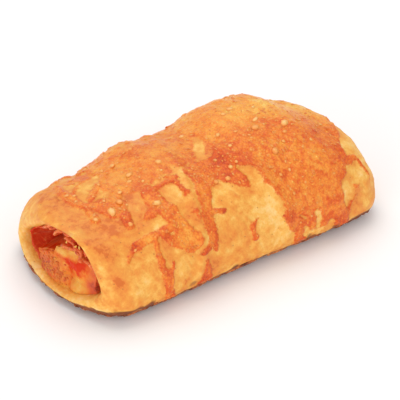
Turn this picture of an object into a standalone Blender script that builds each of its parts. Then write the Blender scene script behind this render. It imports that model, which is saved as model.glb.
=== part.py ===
"""A baked dough roll wrapped round ham and melted cheese, with cheese baked on top.

The roll lies along X on its flat base, with its wider open end at -X and its front side at -Y.
Angles run round a cross section: 0 is the front, 90 the top, 180 the back and 270 the base.
"""

import math

import bpy
import numpy as np

MM = 0.001

# The dough roll.
LENGTH = 150 * MM            # along the middle of the roll, from rim to rim
RIM = 10.2 * MM              # how far a rounded rim stands out past the last full section
BARREL = LENGTH / 2 - RIM    # the full sections lie between -BARREL and BARREL
LIP = 5 * MM                 # the opening ends this far past the last full section
MOUTH = BARREL + LIP         # the opening runs from -MOUTH to MOUTH
LIFT = 1.2 * MM              # how much the underside of a rim rises off the base
FRONT = 39.0 * MM            # half width towards the front, at mid length
BACK = 45.4 * MM             # half width towards the back, at mid length
FRONT_GROW = 2.3 * MM        # how much wider the front is at the far end than at mid length
BACK_GROW = 1.7 * MM
HEIGHT = 41.2 * MM           # crest height between the swells
WAIST = 1.3 * MM             # how much the front draws in at mid length
WAIST_SPREAD = 34 * MM
GIRDLE = 11 * MM             # height at which a section is widest
CREST_Y = -3.1 * MM          # the crest line lies a little to the front
TOP_POWER = 2.2              # 2 would be a plain ellipse
BASE_POWER = 3.2
BASE_CUT = 1.12              # above 1, the base has a flat strip to rest on
# The base is dished a little: it touches in the middle and at a foot near each of its four corners.
DISH = 0.25 * MM
FOOT = {"x": 44.3 * MM, "spread": 5 * MM, "turn": 30, "turn_spread": 8}   # turns are from straight down
TOUCH = {"x": (12 * MM, 24 * MM), "turn": (22, 28)}                       # the middle ends between these
DISH_EDGE = (0.6, 0.8)       # sine of the angle below the girdle between which the dish fades in

# How each end differs: a lower crest, less width and height, and the lean and bow of its face.
NEAR = {"drop": 3.5 * MM, "width": 0.97, "height": 0.95,
        "lean_y": -0.03, "lean_z": 0.12, "bow": 9.3 * MM}
FAR = {"drop": 0.6 * MM, "width": 0.95, "height": 0.83,
       "lean_y": -0.05, "lean_z": -0.12, "bow": -2.4 * MM}
LEVEL = 20 * MM              # the middle of the roll up to here is straight
NARROWING = 28 * MM          # an end narrows over this length
LEAN_HEIGHT = 20 * MM        # an end leans about this height
BOW_WIDTH = 40 * MM          # the bow is stated at this distance from the middle of the end

# Swells of the dough: place along X, spread, angle, spread in degrees, rise.
SWELLS = (
    (-44.0 * MM, 9 * MM, 125, 35, -1.8 * MM),
    (-18.5 * MM, 8 * MM, 125, 35, 3.9 * MM),
    (23.0 * MM, 12 * MM, 110, 40, 5.8 * MM),
    (34.0 * MM, 6 * MM, 115, 30, 1.9 * MM),
    (45.5 * MM, 12 * MM, 110, 40, 5.4 * MM),
)

# The opening through the roll, at its two mouths and half way: a lens in section.
NEAR_MOUTH = {"y": 1.2 * MM, "z": 12.4 * MM, "tilt": -0.09,
              "half": 27.2 * MM, "up": 18.2 * MM, "down": 9.1 * MM}
MIDDLE = {"y": 0.0, "z": 15.0 * MM, "tilt": 0.0,
          "half": 26.0 * MM, "up": 15.0 * MM, "down": 7.0 * MM}
FAR_MOUTH = {"y": 0.0, "z": 14.0 * MM, "tilt": 0.05,
             "half": 23.0 * MM, "up": 13.0 * MM, "down": 7.0 * MM}
LENS_POWER = 1.25            # 1 would be an ellipse; above it the corners are pointed
CORNER = 1.5                 # an inset takes this much more off the lens at its pointed corners

# Strands of baked cheese: half width, rise, then places along each as X in mm and angle.
GIRTH = 0.70 * MM            # length of one degree round the skin
STRANDS = (
    (4.0 * MM, 1.2 * MM, ((-9, 88), (-12, 70), (-15, 54), (-17, 24), (-20, 14))),
    (6.5 * MM, 1.4 * MM, ((-36, 80), (-33, 62), (-30, 48), (-29, 26))),
    (3.8 * MM, 1.1 * MM, ((-63, 36), (-56, 46), (-45, 49), (-36, 42))),
    (4.2 * MM, 1.2 * MM, ((-46, 46), (-48, 28), (-46, -8))),
    (4.2 * MM, 1.2 * MM, ((-62, 78), (-60, 95), (-57, 112), (-46, 124), (-30, 118))),
    (4.4 * MM, 1.2 * MM, ((-58, 92), (-52, 78), (-50, 64))),
    (6.5 * MM, 1.2 * MM, ((-44, 98), (-30, 106), (-10, 100), (4, 92))),
    (7.0 * MM, 1.4 * MM, ((2, 82), (4, 70), (8, 56))),
    (3.0 * MM, 1.0 * MM, ((6, 26), (3, 17), (3, 8))),
    (4.5 * MM, 1.0 * MM, ((-24, 6), (-26, -8))),
    (5.5 * MM, 1.0 * MM, ((48, 16), (46, -10))),
    (5.5 * MM, 1.0 * MM, ((27, 16), (28, -6))),
    (6.0 * MM, 1.2 * MM, ((-60, 132), (-50, 146), (-52, 168))),
    (5.0 * MM, 1.2 * MM, ((-38, 130), (-30, 150), (-36, 178))),
    (5.0 * MM, 1.1 * MM, ((-14, 122), (-12, 146), (-20, 166))),
    (4.5 * MM, 1.1 * MM, ((8, 112), (10, 150), (4, 180))),
)
# The sheet of cheese over the far half, between two places along X and two angles.
SHEET = {"from": 19 * MM, "to": 63 * MM, "low": 2, "high": 172, "edge": 4 * MM, "rise": 1.1 * MM}
SHEET_EDGE_TURN = 8          # degrees over which its lower edges thin out

# The edges of the wound dough strip: half width, rise and places along each.
FOLDS = (
    (2.8 * MM, 1.4 * MM, ((-1, 176), (-3, 140), (-9, 104), (-16, 70), (-20, 46), (-22, 22), (-26, 4))),
    (3.2 * MM, 1.5 * MM, ((9, 84), (15, 64), (19, 40), (20, 6))),
)
LUMPS = 0.35 * MM            # unevenness of the whole crust
LUMP_LENGTH = 19 * MM        # distance from lump to lump along X
RELIEF_FRONT = (-14, 4)      # angles between which the relief fades in above the base
RELIEF_BACK = (176, 200)

# The filling.
GAP = 0.45 * MM              # clearance between neighbouring pieces
HAM = 1.5 * MM               # thickness of the ham slice
SLOT = 0.9 * MM              # air between the two layers of the folded slice
HAM_WAVE = 0.3 * MM          # how much the folded layer wavers
HAM_END = 1.6 * MM           # how far the slice reaches out past the end of the opening
HAM_RAGGED = 1.0 * MM        # how uneven the ends of the slice are
LINING = (222, 2)            # angles between which the slice lines the opening
FOLD = (8, 96)               # angles between which it lies folded back over the cheese
BEND = ((-14, 0.5 * MM), (-22, 2.6 * MM))    # angle and depth of two places round its bend
FOLD_END = (104, 114)        # the cheese steps up past the free edge of the fold here
LINING_END = (226, 238)      # and past the free edge of the lining here
BEND_CLEAR = (322, 334)      # and it steps in to clear the bend here
POCKET = {"angle": 140, "spread": 38, "cut": 8.5 * MM, "depth": 30 * MM}   # hollow in the near mouth
NEAR_LUMP = {"y": 5.5 * MM, "z": 8.5 * MM, "out": 5.0 * MM}  # cheese that bulges out of the mouths
FAR_LUMP = {"y": 0.0, "z": 14.5 * MM, "out": 2.5 * MM}

# Facets.
ROUND_TOP = 50               # round the front, top and back
ROUND_BASE = 10              # across the base
BASE_SPAN = 100              # degrees of the section that count as base
BARREL_RINGS = 58
RIM_STEPS = 6
OPENING_RINGS = 14
LINING_STEPS = 20
FOLD_STEPS = 9
HAM_ROWS = 20
CHEESE_ROUND = 32
CHEESE_RINGS = 16
CHEESE_NOSE = 5


def ease(start, end, x):
    """Smooth step: 0 at start and before it, 1 at end and past it."""
    t = np.clip((x - start) / (end - start), 0.0, 1.0)
    return t * t * (3.0 - 2.0 * t)


def power(value, exponent):
    """Power of a signed value that keeps its sign."""
    return np.sign(value) * np.abs(value) ** exponent


def lean(x, y, z):
    """X once the two end faces lean and bow: linear in y and z, square in y."""
    out = x
    for side, end in ((-1, NEAR), (1, FAR)):
        shift = end["lean_y"] * y + end["lean_z"] * (z - LEAN_HEIGHT) + end["bow"] * (y / BOW_WIDTH) ** 2
        out = out + ease(LEVEL, BARREL, side * x) * shift
    return out


def dish(x, angle):
    """Height of the underside: even, but for a flat middle and four rounded feet that touch."""
    turn = np.abs(np.degrees(np.arctan2(np.cos(angle), -np.sin(angle))))
    foot = ((np.abs(x) - FOOT["x"]) / FOOT["spread"]) ** 2 + ((turn - FOOT["turn"]) / FOOT["turn_spread"]) ** 2
    middle = ease(*TOUCH["x"][::-1], np.abs(x)) * ease(*TOUCH["turn"][::-1], turn)
    return DISH * (1 - np.maximum(np.exp(-foot), middle)) * ease(*DISH_EDGE, -np.sin(angle))


def skin(x, angle):
    """Bare dough: a superellipse section, flat below, that widens along X and narrows at the ends."""
    front = FRONT + FRONT_GROW * x / (LENGTH / 2) - WAIST * np.exp(-((x / WAIST_SPREAD) ** 2))
    back = BACK + BACK_GROW * x / (LENGTH / 2)
    crest = HEIGHT
    wide = high = 1.0
    for side, end in ((-1, NEAR), (1, FAR)):
        crest = crest - end["drop"] * ease(LEVEL, BARREL, side * x)
        close = ease(LENGTH / 2 - NARROWING, LENGTH / 2, side * x)
        wide = wide - (1 - end["width"]) * close
        high = high - (1 - end["height"]) * close
    c, s = np.cos(angle), np.sin(angle)
    top = s >= 0
    exponent = 2 / np.where(top, TOP_POWER, BASE_POWER)
    arch = np.abs(s) ** exponent
    y = -power(c, exponent) * np.where(c >= 0, front, back) * wide
    base = GIRDLE * np.maximum(0.0, 1 - BASE_CUT * arch) + dish(x, angle)
    z = np.where(top, GIRDLE + (crest * high - GIRDLE) * arch, base)
    rise = 0.0
    for place, spread, turn, turn_spread, amount in SWELLS:
        away = ((x - place) / spread) ** 2 + ((np.degrees(angle) - turn) / turn_spread) ** 2
        rise = rise + amount * np.exp(-away)
    rise = rise * np.where(top, np.sqrt(np.abs(s)), 0.0)
    return y - rise * c, z + rise * np.abs(s)


def stroke(x, degrees, half, rise, places):
    """Rounded ridge over a chain of straight stretches: rise times a bell curve of the distance."""
    girth = degrees * GIRTH
    nearest = np.full(np.broadcast(x, girth).shape, LENGTH)
    for (x0, turn0), (x1, turn1) in zip(places[:-1], places[1:]):
        run, climb = (x1 - x0) * MM, (turn1 - turn0) * GIRTH
        dx, dg = x - x0 * MM, girth - turn0 * GIRTH
        along = np.clip((dx * run + dg * climb) / (run * run + climb * climb), 0, 1)
        nearest = np.minimum(nearest, np.hypot(dx - along * run, dg - along * climb))
    return rise * np.exp(-((nearest / half) ** 2))


def relief(x, angle):
    """Height of the baked cheese, the dough's folds and its unevenness above the bare skin."""
    degrees = np.degrees(angle)
    wander = 2.5 * MM * np.sin(degrees / 9) + 1.5 * MM * np.sin(degrees / 4 + 1)
    cheese = SHEET["rise"] * ease(SHEET["from"], SHEET["from"] + SHEET["edge"], x + wander)
    cheese = cheese * ease(SHEET["to"], SHEET["to"] - SHEET["edge"], x - wander)
    cheese = cheese * ease(SHEET["low"], SHEET["low"] + SHEET_EDGE_TURN, degrees)
    cheese = cheese * ease(SHEET["high"], SHEET["high"] - SHEET_EDGE_TURN, degrees)
    for half, rise, places in STRANDS:
        cheese = np.maximum(cheese, stroke(x, degrees, half, rise, places))
    fold = sum(stroke(x, degrees, half, rise, places) for half, rise, places in FOLDS)
    turn = 2 * math.pi * x / LUMP_LENGTH
    lump = LUMPS * np.sin(turn + 2 * np.sin(3 * angle)) * np.sin(7 * angle + turn / 3)
    return (cheese + fold + lump) * ease(*RELIEF_FRONT, degrees) * ease(*RELIEF_BACK[::-1], degrees)


def crust(x, angle):
    """Outer surface: the bare skin moved out by its relief, square to the section."""
    y, z = skin(x, angle)
    step = 0.01
    y0, z0 = skin(x, angle - step)
    y1, z1 = skin(x, angle + step)
    run, climb = y1 - y0, z1 - z0
    scale = relief(x, angle) / np.maximum(np.hypot(run, climb), 1e-9)
    y, z = y - climb * scale, z + run * scale
    return np.stack([lean(x, y, z), y + CREST_Y, np.maximum(z, 0.0)], -1)


def opening(x, angle, inset=0.0):
    """Inner surface: a lens that changes from the middle's size to each mouth's, less an inset."""
    near, far = ease(0, MOUTH, -x), ease(0, MOUTH, x)
    size = {}
    for key, middle in MIDDLE.items():
        size[key] = middle + near * (NEAR_MOUTH[key] - middle) + far * (FAR_MOUTH[key] - middle)
    c, s = np.cos(angle), power(np.sin(angle), LENS_POWER)
    y = size["y"] - (size["half"] - CORNER * inset) * c
    z = size["z"] + size["tilt"] * (y - size["y"])
    z = z + (np.where(s >= 0, size["up"], size["down"]) - inset) * s
    return np.stack([lean(x, y, z), y + CREST_Y, z], -1)


def add_node(name, points, faces, colour, roughness):
    """Mesh object with its own material."""
    mesh = bpy.data.meshes.new(name)
    mesh.from_pydata([tuple(p) for p in points], [], faces)
    mesh.update()
    mesh.shade_smooth()
    material = bpy.data.materials.new(name)
    material.use_nodes = True
    shader = material.node_tree.nodes["Principled BSDF"]
    shader.inputs["Base Color"].default_value = (*colour, 1.0)
    shader.inputs["Roughness"].default_value = roughness
    shader.inputs["Metallic"].default_value = 0.0
    mesh.materials.append(material)
    node = bpy.data.objects.new(name, mesh)
    bpy.context.collection.objects.link(node)


def wrap(rows, columns, close_rows=False):
    """Quads of a grid whose columns close on themselves, and whose rows may do so too."""
    quads = []
    for i in range(rows if close_rows else rows - 1):
        k = (i + 1) % rows
        for j in range(columns):
            m = (j + 1) % columns
            quads.append((i * columns + j, k * columns + j, k * columns + m, i * columns + m))
    return quads


def section_angles():
    """Angles round a section, closer together where the relief is than across the base."""
    base_start, base_end = 270 - BASE_SPAN / 2, 270 + BASE_SPAN / 2
    top = np.linspace(base_end - 360, base_start, ROUND_TOP, endpoint=False)
    base = np.linspace(base_start, base_end, ROUND_BASE, endpoint=False)
    return np.radians(np.concatenate([top, base]))


def rim(side, angles):
    """Rings of a rounded rim: half an ellipse in profile, from the crust round to the opening."""
    outside, inside = crust(side * BARREL, angles), opening(side * MOUTH, angles)
    middle = (outside + inside) / 2
    push = np.zeros(outside.shape)
    push[:, 0] = side * (RIM - LIP / 2)
    push[:, 2] = LIFT * np.maximum(0, -np.sin(angles))
    turns = np.linspace(0, math.pi, RIM_STEPS + 1)[1:-1]
    return [middle + (outside - middle) * math.cos(turn) + push * math.sin(turn) for turn in turns]


def pastry():
    """Dough and baked cheese: one tube, out along the crust and back through the opening."""
    angles = section_angles()
    rings = [crust(x, angles) for x in np.linspace(-BARREL, BARREL, BARREL_RINGS)]
    rings += rim(1, angles)
    rings += [opening(x, angles) for x in np.linspace(MOUTH, -MOUTH, OPENING_RINGS)]
    rings += rim(-1, angles)[::-1]
    faces = wrap(len(rings), len(angles), close_rows=True)
    add_node("pastry", np.concatenate(rings), faces, (0.85, 0.45, 0.12), 0.5)


def ham():
    """Ham slice: it lines the opening, bends at the front corner and folds back over the cheese."""
    lining = np.linspace(*LINING, LINING_STEPS)
    fold = np.linspace(*FOLD, FOLD_STEPS)
    bend_turns, bend_depths = zip(*BEND)
    slot = GAP + HAM + SLOT
    # The face that lies on the dough goes round the outside of the bend and then lies on the cheese.
    face_turns = np.concatenate([lining, bend_turns, fold])
    face_depths = np.concatenate([
        np.full(LINING_STEPS, GAP), GAP + np.array(bend_depths), np.full(FOLD_STEPS, slot + HAM)])
    back_turns = np.concatenate([lining, np.linspace(LINING[1], FOLD[0], len(BEND) + 2)[1:-1], fold])
    back_depths = np.concatenate([
        np.full(LINING_STEPS, GAP + HAM), np.linspace(GAP + HAM, slot, len(BEND)), np.full(FOLD_STEPS, slot)])
    folded = np.concatenate([np.zeros(LINING_STEPS + len(BEND)), np.ones(FOLD_STEPS)])
    rows = []
    for share in np.linspace(-1, 1, HAM_ROWS):
        wave = HAM_WAVE * folded * np.sin(face_turns / 6 + 11 * share)
        ragged = HAM_RAGGED * np.sin(face_turns / 9 + 2 * share) * abs(share) ** 8
        x = share * (MOUTH + HAM_END + ragged)
        face = opening(x, np.radians(face_turns), face_depths + wave)
        back = opening(x, np.radians(back_turns), back_depths + wave)
        rows.append(np.concatenate([back, face[::-1]]))
    columns = len(rows[0])
    faces = wrap(HAM_ROWS, columns)
    last = (HAM_ROWS - 1) * columns
    for j in range(columns // 2 - 1):
        edge = (j, j + 1, columns - 2 - j, columns - 1 - j)
        faces.append(edge)
        faces.append(tuple(last + k for k in reversed(edge)))
    add_node("ham", np.concatenate(rows), faces, (0.72, 0.16, 0.10), 0.45)


def cheese_depth(x, degrees):
    """How far the cheese keeps inside the opening, clear of the ham and of the pocket."""
    folded = ease(*FOLD_END[::-1], degrees) + ease(*BEND_CLEAR, degrees)
    lined = (1 - folded) * ease(*LINING_END[::-1], degrees)
    depth = GAP + lined * (HAM + GAP) + folded * (2 * HAM + SLOT + HAM_WAVE + GAP)
    hollow = np.exp(-(((degrees - POCKET["angle"]) / POCKET["spread"]) ** 2))
    return depth + POCKET["cut"] * hollow * ease(POCKET["depth"] - MOUTH, -MOUTH, x)


def cheese_filling():
    """Melted cheese: a core that fills the ham and bulges out of both mouths as a rounded nose."""
    degrees = np.linspace(0, 360, CHEESE_ROUND, endpoint=False)
    rings = [opening(x, np.radians(degrees), cheese_depth(x, degrees))
             for x in np.linspace(-MOUTH, MOUTH, CHEESE_RINGS)]
    turns = np.linspace(0, math.pi / 2, CHEESE_NOSE, endpoint=False)[1:]
    noses, tips = [], []
    for side, lump, ring in ((-1, NEAR_LUMP, rings[0]), (1, FAR_LUMP, rings[-1])):
        centre = np.array([ring[:, 0].mean(), lump["y"] + CREST_Y, lump["z"]])
        push = np.array([side * lump["out"], 0.0, 0.0])
        noses.append([centre + (ring - centre) * math.cos(turn) + push * math.sin(turn) for turn in turns])
        tips.append(centre + push)
    rings = noses[0][::-1] + rings + noses[1]
    faces = wrap(len(rings), CHEESE_ROUND)
    last = (len(rings) - 1) * CHEESE_ROUND
    near_tip = len(rings) * CHEESE_ROUND
    for j in range(CHEESE_ROUND):
        k = (j + 1) % CHEESE_ROUND
        faces.append((j, k, near_tip))
        faces.append((last + k, last + j, near_tip + 1))
    add_node("cheese_filling", np.concatenate(rings + [np.array(tips)]), faces, (0.90, 0.55, 0.15), 0.4)


def main():
    for old in list(bpy.data.objects):
        bpy.data.objects.remove(old, do_unlink=True)
    pastry()
    ham()
    cheese_filling()


main()
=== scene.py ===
import math

import bmesh
import bpy
import numpy as np
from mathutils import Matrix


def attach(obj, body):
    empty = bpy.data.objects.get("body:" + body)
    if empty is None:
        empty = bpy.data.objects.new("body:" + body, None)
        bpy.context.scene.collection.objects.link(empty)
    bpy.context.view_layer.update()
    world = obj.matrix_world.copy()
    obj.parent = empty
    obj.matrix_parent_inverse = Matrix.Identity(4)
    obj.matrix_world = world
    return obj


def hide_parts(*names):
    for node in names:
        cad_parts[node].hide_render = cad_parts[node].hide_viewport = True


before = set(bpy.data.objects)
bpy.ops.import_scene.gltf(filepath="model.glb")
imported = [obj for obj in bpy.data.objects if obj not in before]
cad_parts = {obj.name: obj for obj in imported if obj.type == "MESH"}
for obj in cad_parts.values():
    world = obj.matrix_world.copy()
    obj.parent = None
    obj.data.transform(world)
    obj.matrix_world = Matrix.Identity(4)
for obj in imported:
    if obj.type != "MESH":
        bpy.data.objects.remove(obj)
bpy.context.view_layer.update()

# ------------------------------------------------------------------------------------------------
# The dough: a strip of soft white bread dough, wound in a slant round the filling and baked on a
# tray. Its skin is dry and golden, paler where a fold shaded it and dark where it met the tray.
# The sizes are those of the CAD part, in mm; a turn of 0 is the front, 90 the top, 180 the back.
MM = 0.001
LENGTH = 150.0                # along the middle of the roll, from rim to rim
RIM = 10.2                    # how far a rounded rim stands out past the last full section
BARREL = LENGTH / 2 - RIM     # the full sections lie between -BARREL and BARREL
LIP = 5.0                     # the opening ends this far past the last full section
MOUTH = BARREL + LIP
LIFT = 1.2                    # how much the underside of a rim rises off the tray
FRONT, BACK = 39.0, 45.4      # half widths at mid length, and how much wider at the far end
FRONT_GROW, BACK_GROW = 2.3, 1.7
HEIGHT, GIRDLE = 41.2, 11.0   # crest height between the swells, height of the widest place
CREST_Y = -3.1                # the crest line lies a little to the front
WAIST, WAIST_SPREAD = 1.3, 34.0
TOP_POWER, BASE_POWER = 2.2, 3.2
BASE_CUT = 1.12               # above 1, the base has a flat strip to rest on
DISH = 0.25
# How each end differs: a lower crest, less width and height, and the lean and bow of its face.
NEAR = {"drop": 3.5, "width": 0.97, "height": 0.95, "lean_y": -0.03, "lean_z": 0.12, "bow": 9.3}
FAR = {"drop": 0.6, "width": 0.95, "height": 0.83, "lean_y": -0.05, "lean_z": -0.12, "bow": -2.4}
LEVEL, NARROWING = 20.0, 28.0         # half length of the straight middle, length of a narrowing end
LEAN_HEIGHT, BOW_WIDTH = 20.0, 40.0   # height an end leans about, and half width that its bow is for
# Swells: place along the roll, spread, turn, spread in degrees, rise.
SWELLS = (
    (-44.0, 9.0, 125, 35, -1.8),
    (-18.5, 8.0, 125, 35, 3.9),
    (23.0, 12.0, 110, 40, 5.8),
    (34.0, 6.0, 115, 30, 1.9),
    (45.5, 12.0, 110, 40, 5.4),
)
# The opening at its two mouths and half way: a lens in section, pointed at its corners.
NEAR_MOUTH = {"y": 1.2, "z": 12.4, "tilt": -0.09, "half": 27.2, "up": 18.2, "down": 9.1}
MIDDLE = {"y": 0.0, "z": 15.0, "tilt": 0.0, "half": 26.0, "up": 15.0, "down": 7.0}
FAR_MOUTH = {"y": 0.0, "z": 14.0, "tilt": 0.05, "half": 23.0, "up": 13.0, "down": 7.0}
LENS_POWER, CORNER = 1.25, 1.5
# The near lip is torn back over the frills of the ham and at the back corner, and stands out a little
# between them (depth, turn, spread). It swells into the opening at its low back corner.
TEARS = ((5.2, 70.0, 25.0), (2.3, 174.0, 22.0), (-1.0, 132.0, 16.0))
PLUMP, PLUMP_TURN, PLUMP_SPREAD = 2.6, 247.0, 34.0
LIP_REACH = 14.0
GIRTH = 0.70                 # mm of skin for each degree of turn


def smooth(start, end, value):
    """Cubic step: 0 at start, 1 at end."""
    share = np.clip((value - start) / (end - start), 0.0, 1.0)
    return share * share * (3.0 - 2.0 * share)


def signed_power(value, exponent):
    """Power of the size of a value, with the value's sign."""
    return np.sign(value) * np.abs(value) ** exponent


def lean(x, y, z):
    """Place along the roll once its end faces lean and bow: linear in y and z, square in y."""
    for side, end in ((-1, NEAR), (1, FAR)):
        shift = end["lean_y"] * y + end["lean_z"] * (z - LEAN_HEIGHT) + end["bow"] * (y / BOW_WIDTH) ** 2
        x = x + smooth(LEVEL, BARREL, side * x) * shift
    return x


def dough_section(x, turn):
    """Bare skin at x: a superellipse, flat below, with swells that push it out along its radius."""
    front = FRONT + FRONT_GROW * x / (LENGTH / 2) - WAIST * np.exp(-((x / WAIST_SPREAD) ** 2))
    back = BACK + BACK_GROW * x / (LENGTH / 2)
    crest, wide, high = HEIGHT, 1.0, 1.0
    for side, end in ((-1, NEAR), (1, FAR)):
        crest = crest - end["drop"] * smooth(LEVEL, BARREL, side * x)
        close = smooth(LENGTH / 2 - NARROWING, LENGTH / 2, side * x)
        wide = wide - (1 - end["width"]) * close
        high = high - (1 - end["height"]) * close
    c, s = np.cos(np.radians(turn)), np.sin(np.radians(turn))
    upper = s >= 0
    exponent = 2 / np.where(upper, TOP_POWER, BASE_POWER)
    arch = np.abs(s) ** exponent
    y = -signed_power(c, exponent) * np.where(c >= 0, front, back) * wide
    below = GIRDLE * np.maximum(0.0, 1 - BASE_CUT * arch) + DISH * smooth(0.6, 0.8, -s)
    z = np.where(upper, GIRDLE + (crest * high - GIRDLE) * arch, below)
    swell = 0.0
    for place, spread, angle, width, rise in SWELLS:
        swell = swell + rise * np.exp(-(((x - place) / spread) ** 2 + ((turn - angle) / width) ** 2))
    swell = swell * np.where(upper, np.sqrt(np.abs(s)), 0.0)
    y, z = y - swell * c, z + swell * np.abs(s)
    return np.stack([lean(x, y, z), y + CREST_Y, z], -1)


def torn(x, turn):
    """How far the near lip is pulled back: a sum of bell curves of the turn, eased in along x."""
    pull = sum(depth * np.exp(-(((turn - middle) / spread) ** 2)) for depth, middle, spread in TEARS)
    return pull * smooth(MOUTH - LIP_REACH, MOUTH, -x)


def plump(x, turn):
    """How far the near lip swells into the opening: a bell curve of the turn, eased in along x."""
    swell = PLUMP * np.exp(-(((turn - PLUMP_TURN) / PLUMP_SPREAD) ** 2))
    return swell * smooth(MOUTH - LIP_REACH, MOUTH, -x)


def opening_section(x, turn, inset=0.0):
    """Wall of the opening at x: a pointed lens, its sine raised to a power, less an inset."""
    inset = inset - torn(x, turn) + plump(x, turn)
    near, far = smooth(0, MOUTH, -x), smooth(0, MOUTH, x)
    size = {k: m + near * (NEAR_MOUTH[k] - m) + far * (FAR_MOUTH[k] - m) for k, m in MIDDLE.items()}
    c, s = np.cos(np.radians(turn)), signed_power(np.sin(np.radians(turn)), LENS_POWER)
    y = size["y"] - (size["half"] - CORNER * inset) * c
    z = size["z"] + size["tilt"] * (y - size["y"])
    z = z + (np.where(s >= 0, size["up"], size["down"]) - inset) * s
    return np.stack([lean(x, y, z), y + CREST_Y, z], -1)


def crust(along, turn):
    """Skin from rim to rim: full sections, and past them a half turn about a rim's middle, in which
    the skin's radius goes with the cosine and the rim's length with the sine."""
    along, turn = np.broadcast_arrays(along, turn)
    points = dough_section(np.clip(along, -BARREL, BARREL), turn)
    for side in (-1, 1):
        bend = np.clip((side * along - BARREL) / RIM, 0, math.pi)[..., None]
        inside = opening_section(side * MOUTH, turn)
        push = np.zeros(points.shape)
        push[..., 0] = side * (RIM - LIP / 2)
        push[..., 2] = LIFT * np.maximum(0, -np.sin(np.radians(turn)))
        middle = (points + inside) / 2
        bent = middle + (points - middle) * np.cos(bend) + push * np.sin(bend)
        points = np.where(bend > 0, bent, points)
    return points


def grain(u, v, size, seed):
    """Smooth noise from -1 to 1: random values on a square lattice of that size, eased between."""
    lattice = np.random.default_rng(seed).uniform(-1, 1, (256, 256))
    u, v = np.broadcast_arrays(u / size, v / size)
    i, j = np.floor(u).astype(int), np.floor(v).astype(int)
    a, b = smooth(0, 1, u - i), smooth(0, 1, v - j)
    low = lattice[i % 256, j % 256] * (1 - a) + lattice[(i + 1) % 256, j % 256] * a
    high = lattice[i % 256, (j + 1) % 256] * (1 - a) + lattice[(i + 1) % 256, (j + 1) % 256] * a
    return low * (1 - b) + high * b


def inside_chain(along, girth, chain):
    """Depth in mm inside a strand: its half width less the distance to its line, at the nearest
    stretch of a chain of (place along the roll, turn, half width)."""
    depth = np.full(along.shape, -99.0)
    for (a0, t0, w0), (a1, t1, w1) in zip(chain[:-1], chain[1:]):
        run, climb = a1 - a0, (t1 - t0) * GIRTH
        da, dg = along - a0, girth - t0 * GIRTH
        share = np.clip((da * run + dg * climb) / (run * run + climb * climb), 0, 1)
        gap = np.hypot(da - share * run, dg - share * climb)
        depth = np.maximum(depth, w0 + (w1 - w0) * share - gap)
    return depth


def spots(along, turn, start, places):
    """A tone that starts even and changes by an amount at each spot, as a bell curve."""
    tone = np.full(along.shape, float(start))
    for place, angle, long, wide, amount in places:
        tone += amount * np.exp(-(((along - place) / long) ** 2 + ((turn - angle) / wide) ** 2))
    return tone


def make_piece(name, points, faces, material, lids=(), **tones):
    """Mesh object from points in mm, faces as rows of point numbers and lids as lists of them, with
    a value for each tone at every point."""
    mesh = bpy.data.meshes.new(name)
    mesh.from_pydata((points.reshape(-1, 3) * MM).tolist(), [], faces.tolist() + list(lids))
    mesh.shade_smooth()
    for tone, values in tones.items():
        layer = mesh.attributes.new(tone, "FLOAT", "POINT")
        layer.data.foreach_set("value", np.asarray(values, np.float32).ravel())
    mesh.materials.append(material)
    piece = bpy.data.objects.new(name, mesh)
    bpy.context.collection.objects.link(piece)
    return piece


def grid_faces(rows, columns, close_rows=False, close_columns=False):
    """Quads of a grid of points, facing along the cross product of the row step and column step."""
    i, j = np.meshgrid(
        np.arange(rows - (not close_rows)), np.arange(columns - (not close_columns)), indexing="ij")
    k, m = (i + 1) % rows, (j + 1) % columns
    return np.stack([i * columns + j, k * columns + j, k * columns + m, i * columns + m], -1).reshape(-1, 4)


def grid_normals(points):
    """Unit normals of a grid that closes both ways: cross product of its central differences."""
    row_step = np.roll(points, -1, 0) - np.roll(points, 1, 0)
    column_step = np.roll(points, -1, 1) - np.roll(points, 1, 1)
    normal = np.cross(row_step, column_step)
    return normal / np.maximum(np.linalg.norm(normal, axis=-1, keepdims=True), 1e-9)


def linear(code):
    """Linear RGBA of an sRGB hex colour."""
    parts = np.array([int(code[k:k + 2], 16) / 255 for k in (1, 3, 5)])
    parts = np.where(parts <= 0.04045, parts / 12.92, ((parts + 0.055) / 1.055) ** 2.4)
    return (*parts.tolist(), 1.0)


def add_node(tree, kind, links=(), **settings):
    """Adds a shader node, or takes the one given, sets its properties, or its inputs by name or
    number, gives a ramp its stops as (place, hex colour), and links other nodes' sockets to it. A
    link from a node itself is from its first output."""
    node = tree.nodes.new("ShaderNode" + kind) if isinstance(kind, str) else kind
    for key, value in settings.items():
        if key == "stops":
            elements = node.color_ramp.elements
            while len(elements) < len(value):
                elements.new(0.5)
            for element, (place, code) in zip(elements, value):
                element.position = place
                element.color = linear(code)
        elif hasattr(node, key):
            setattr(node, key, value)
        else:
            name = int(key[1:]) if key[1:].isdigit() else key.replace("_", " ")
            node.inputs[name].default_value = value
    for target, source in links:
        socket = source.outputs[0] if isinstance(source, bpy.types.Node) else source
        tree.links.new(socket, node.inputs[target])
    return node


def new_material(name):
    """Node material: itself, its tree, and its Principled shader."""
    material = bpy.data.materials.new(name)
    material.use_nodes = True
    return material, material.node_tree, material.node_tree.nodes["Principled BSDF"]


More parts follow.
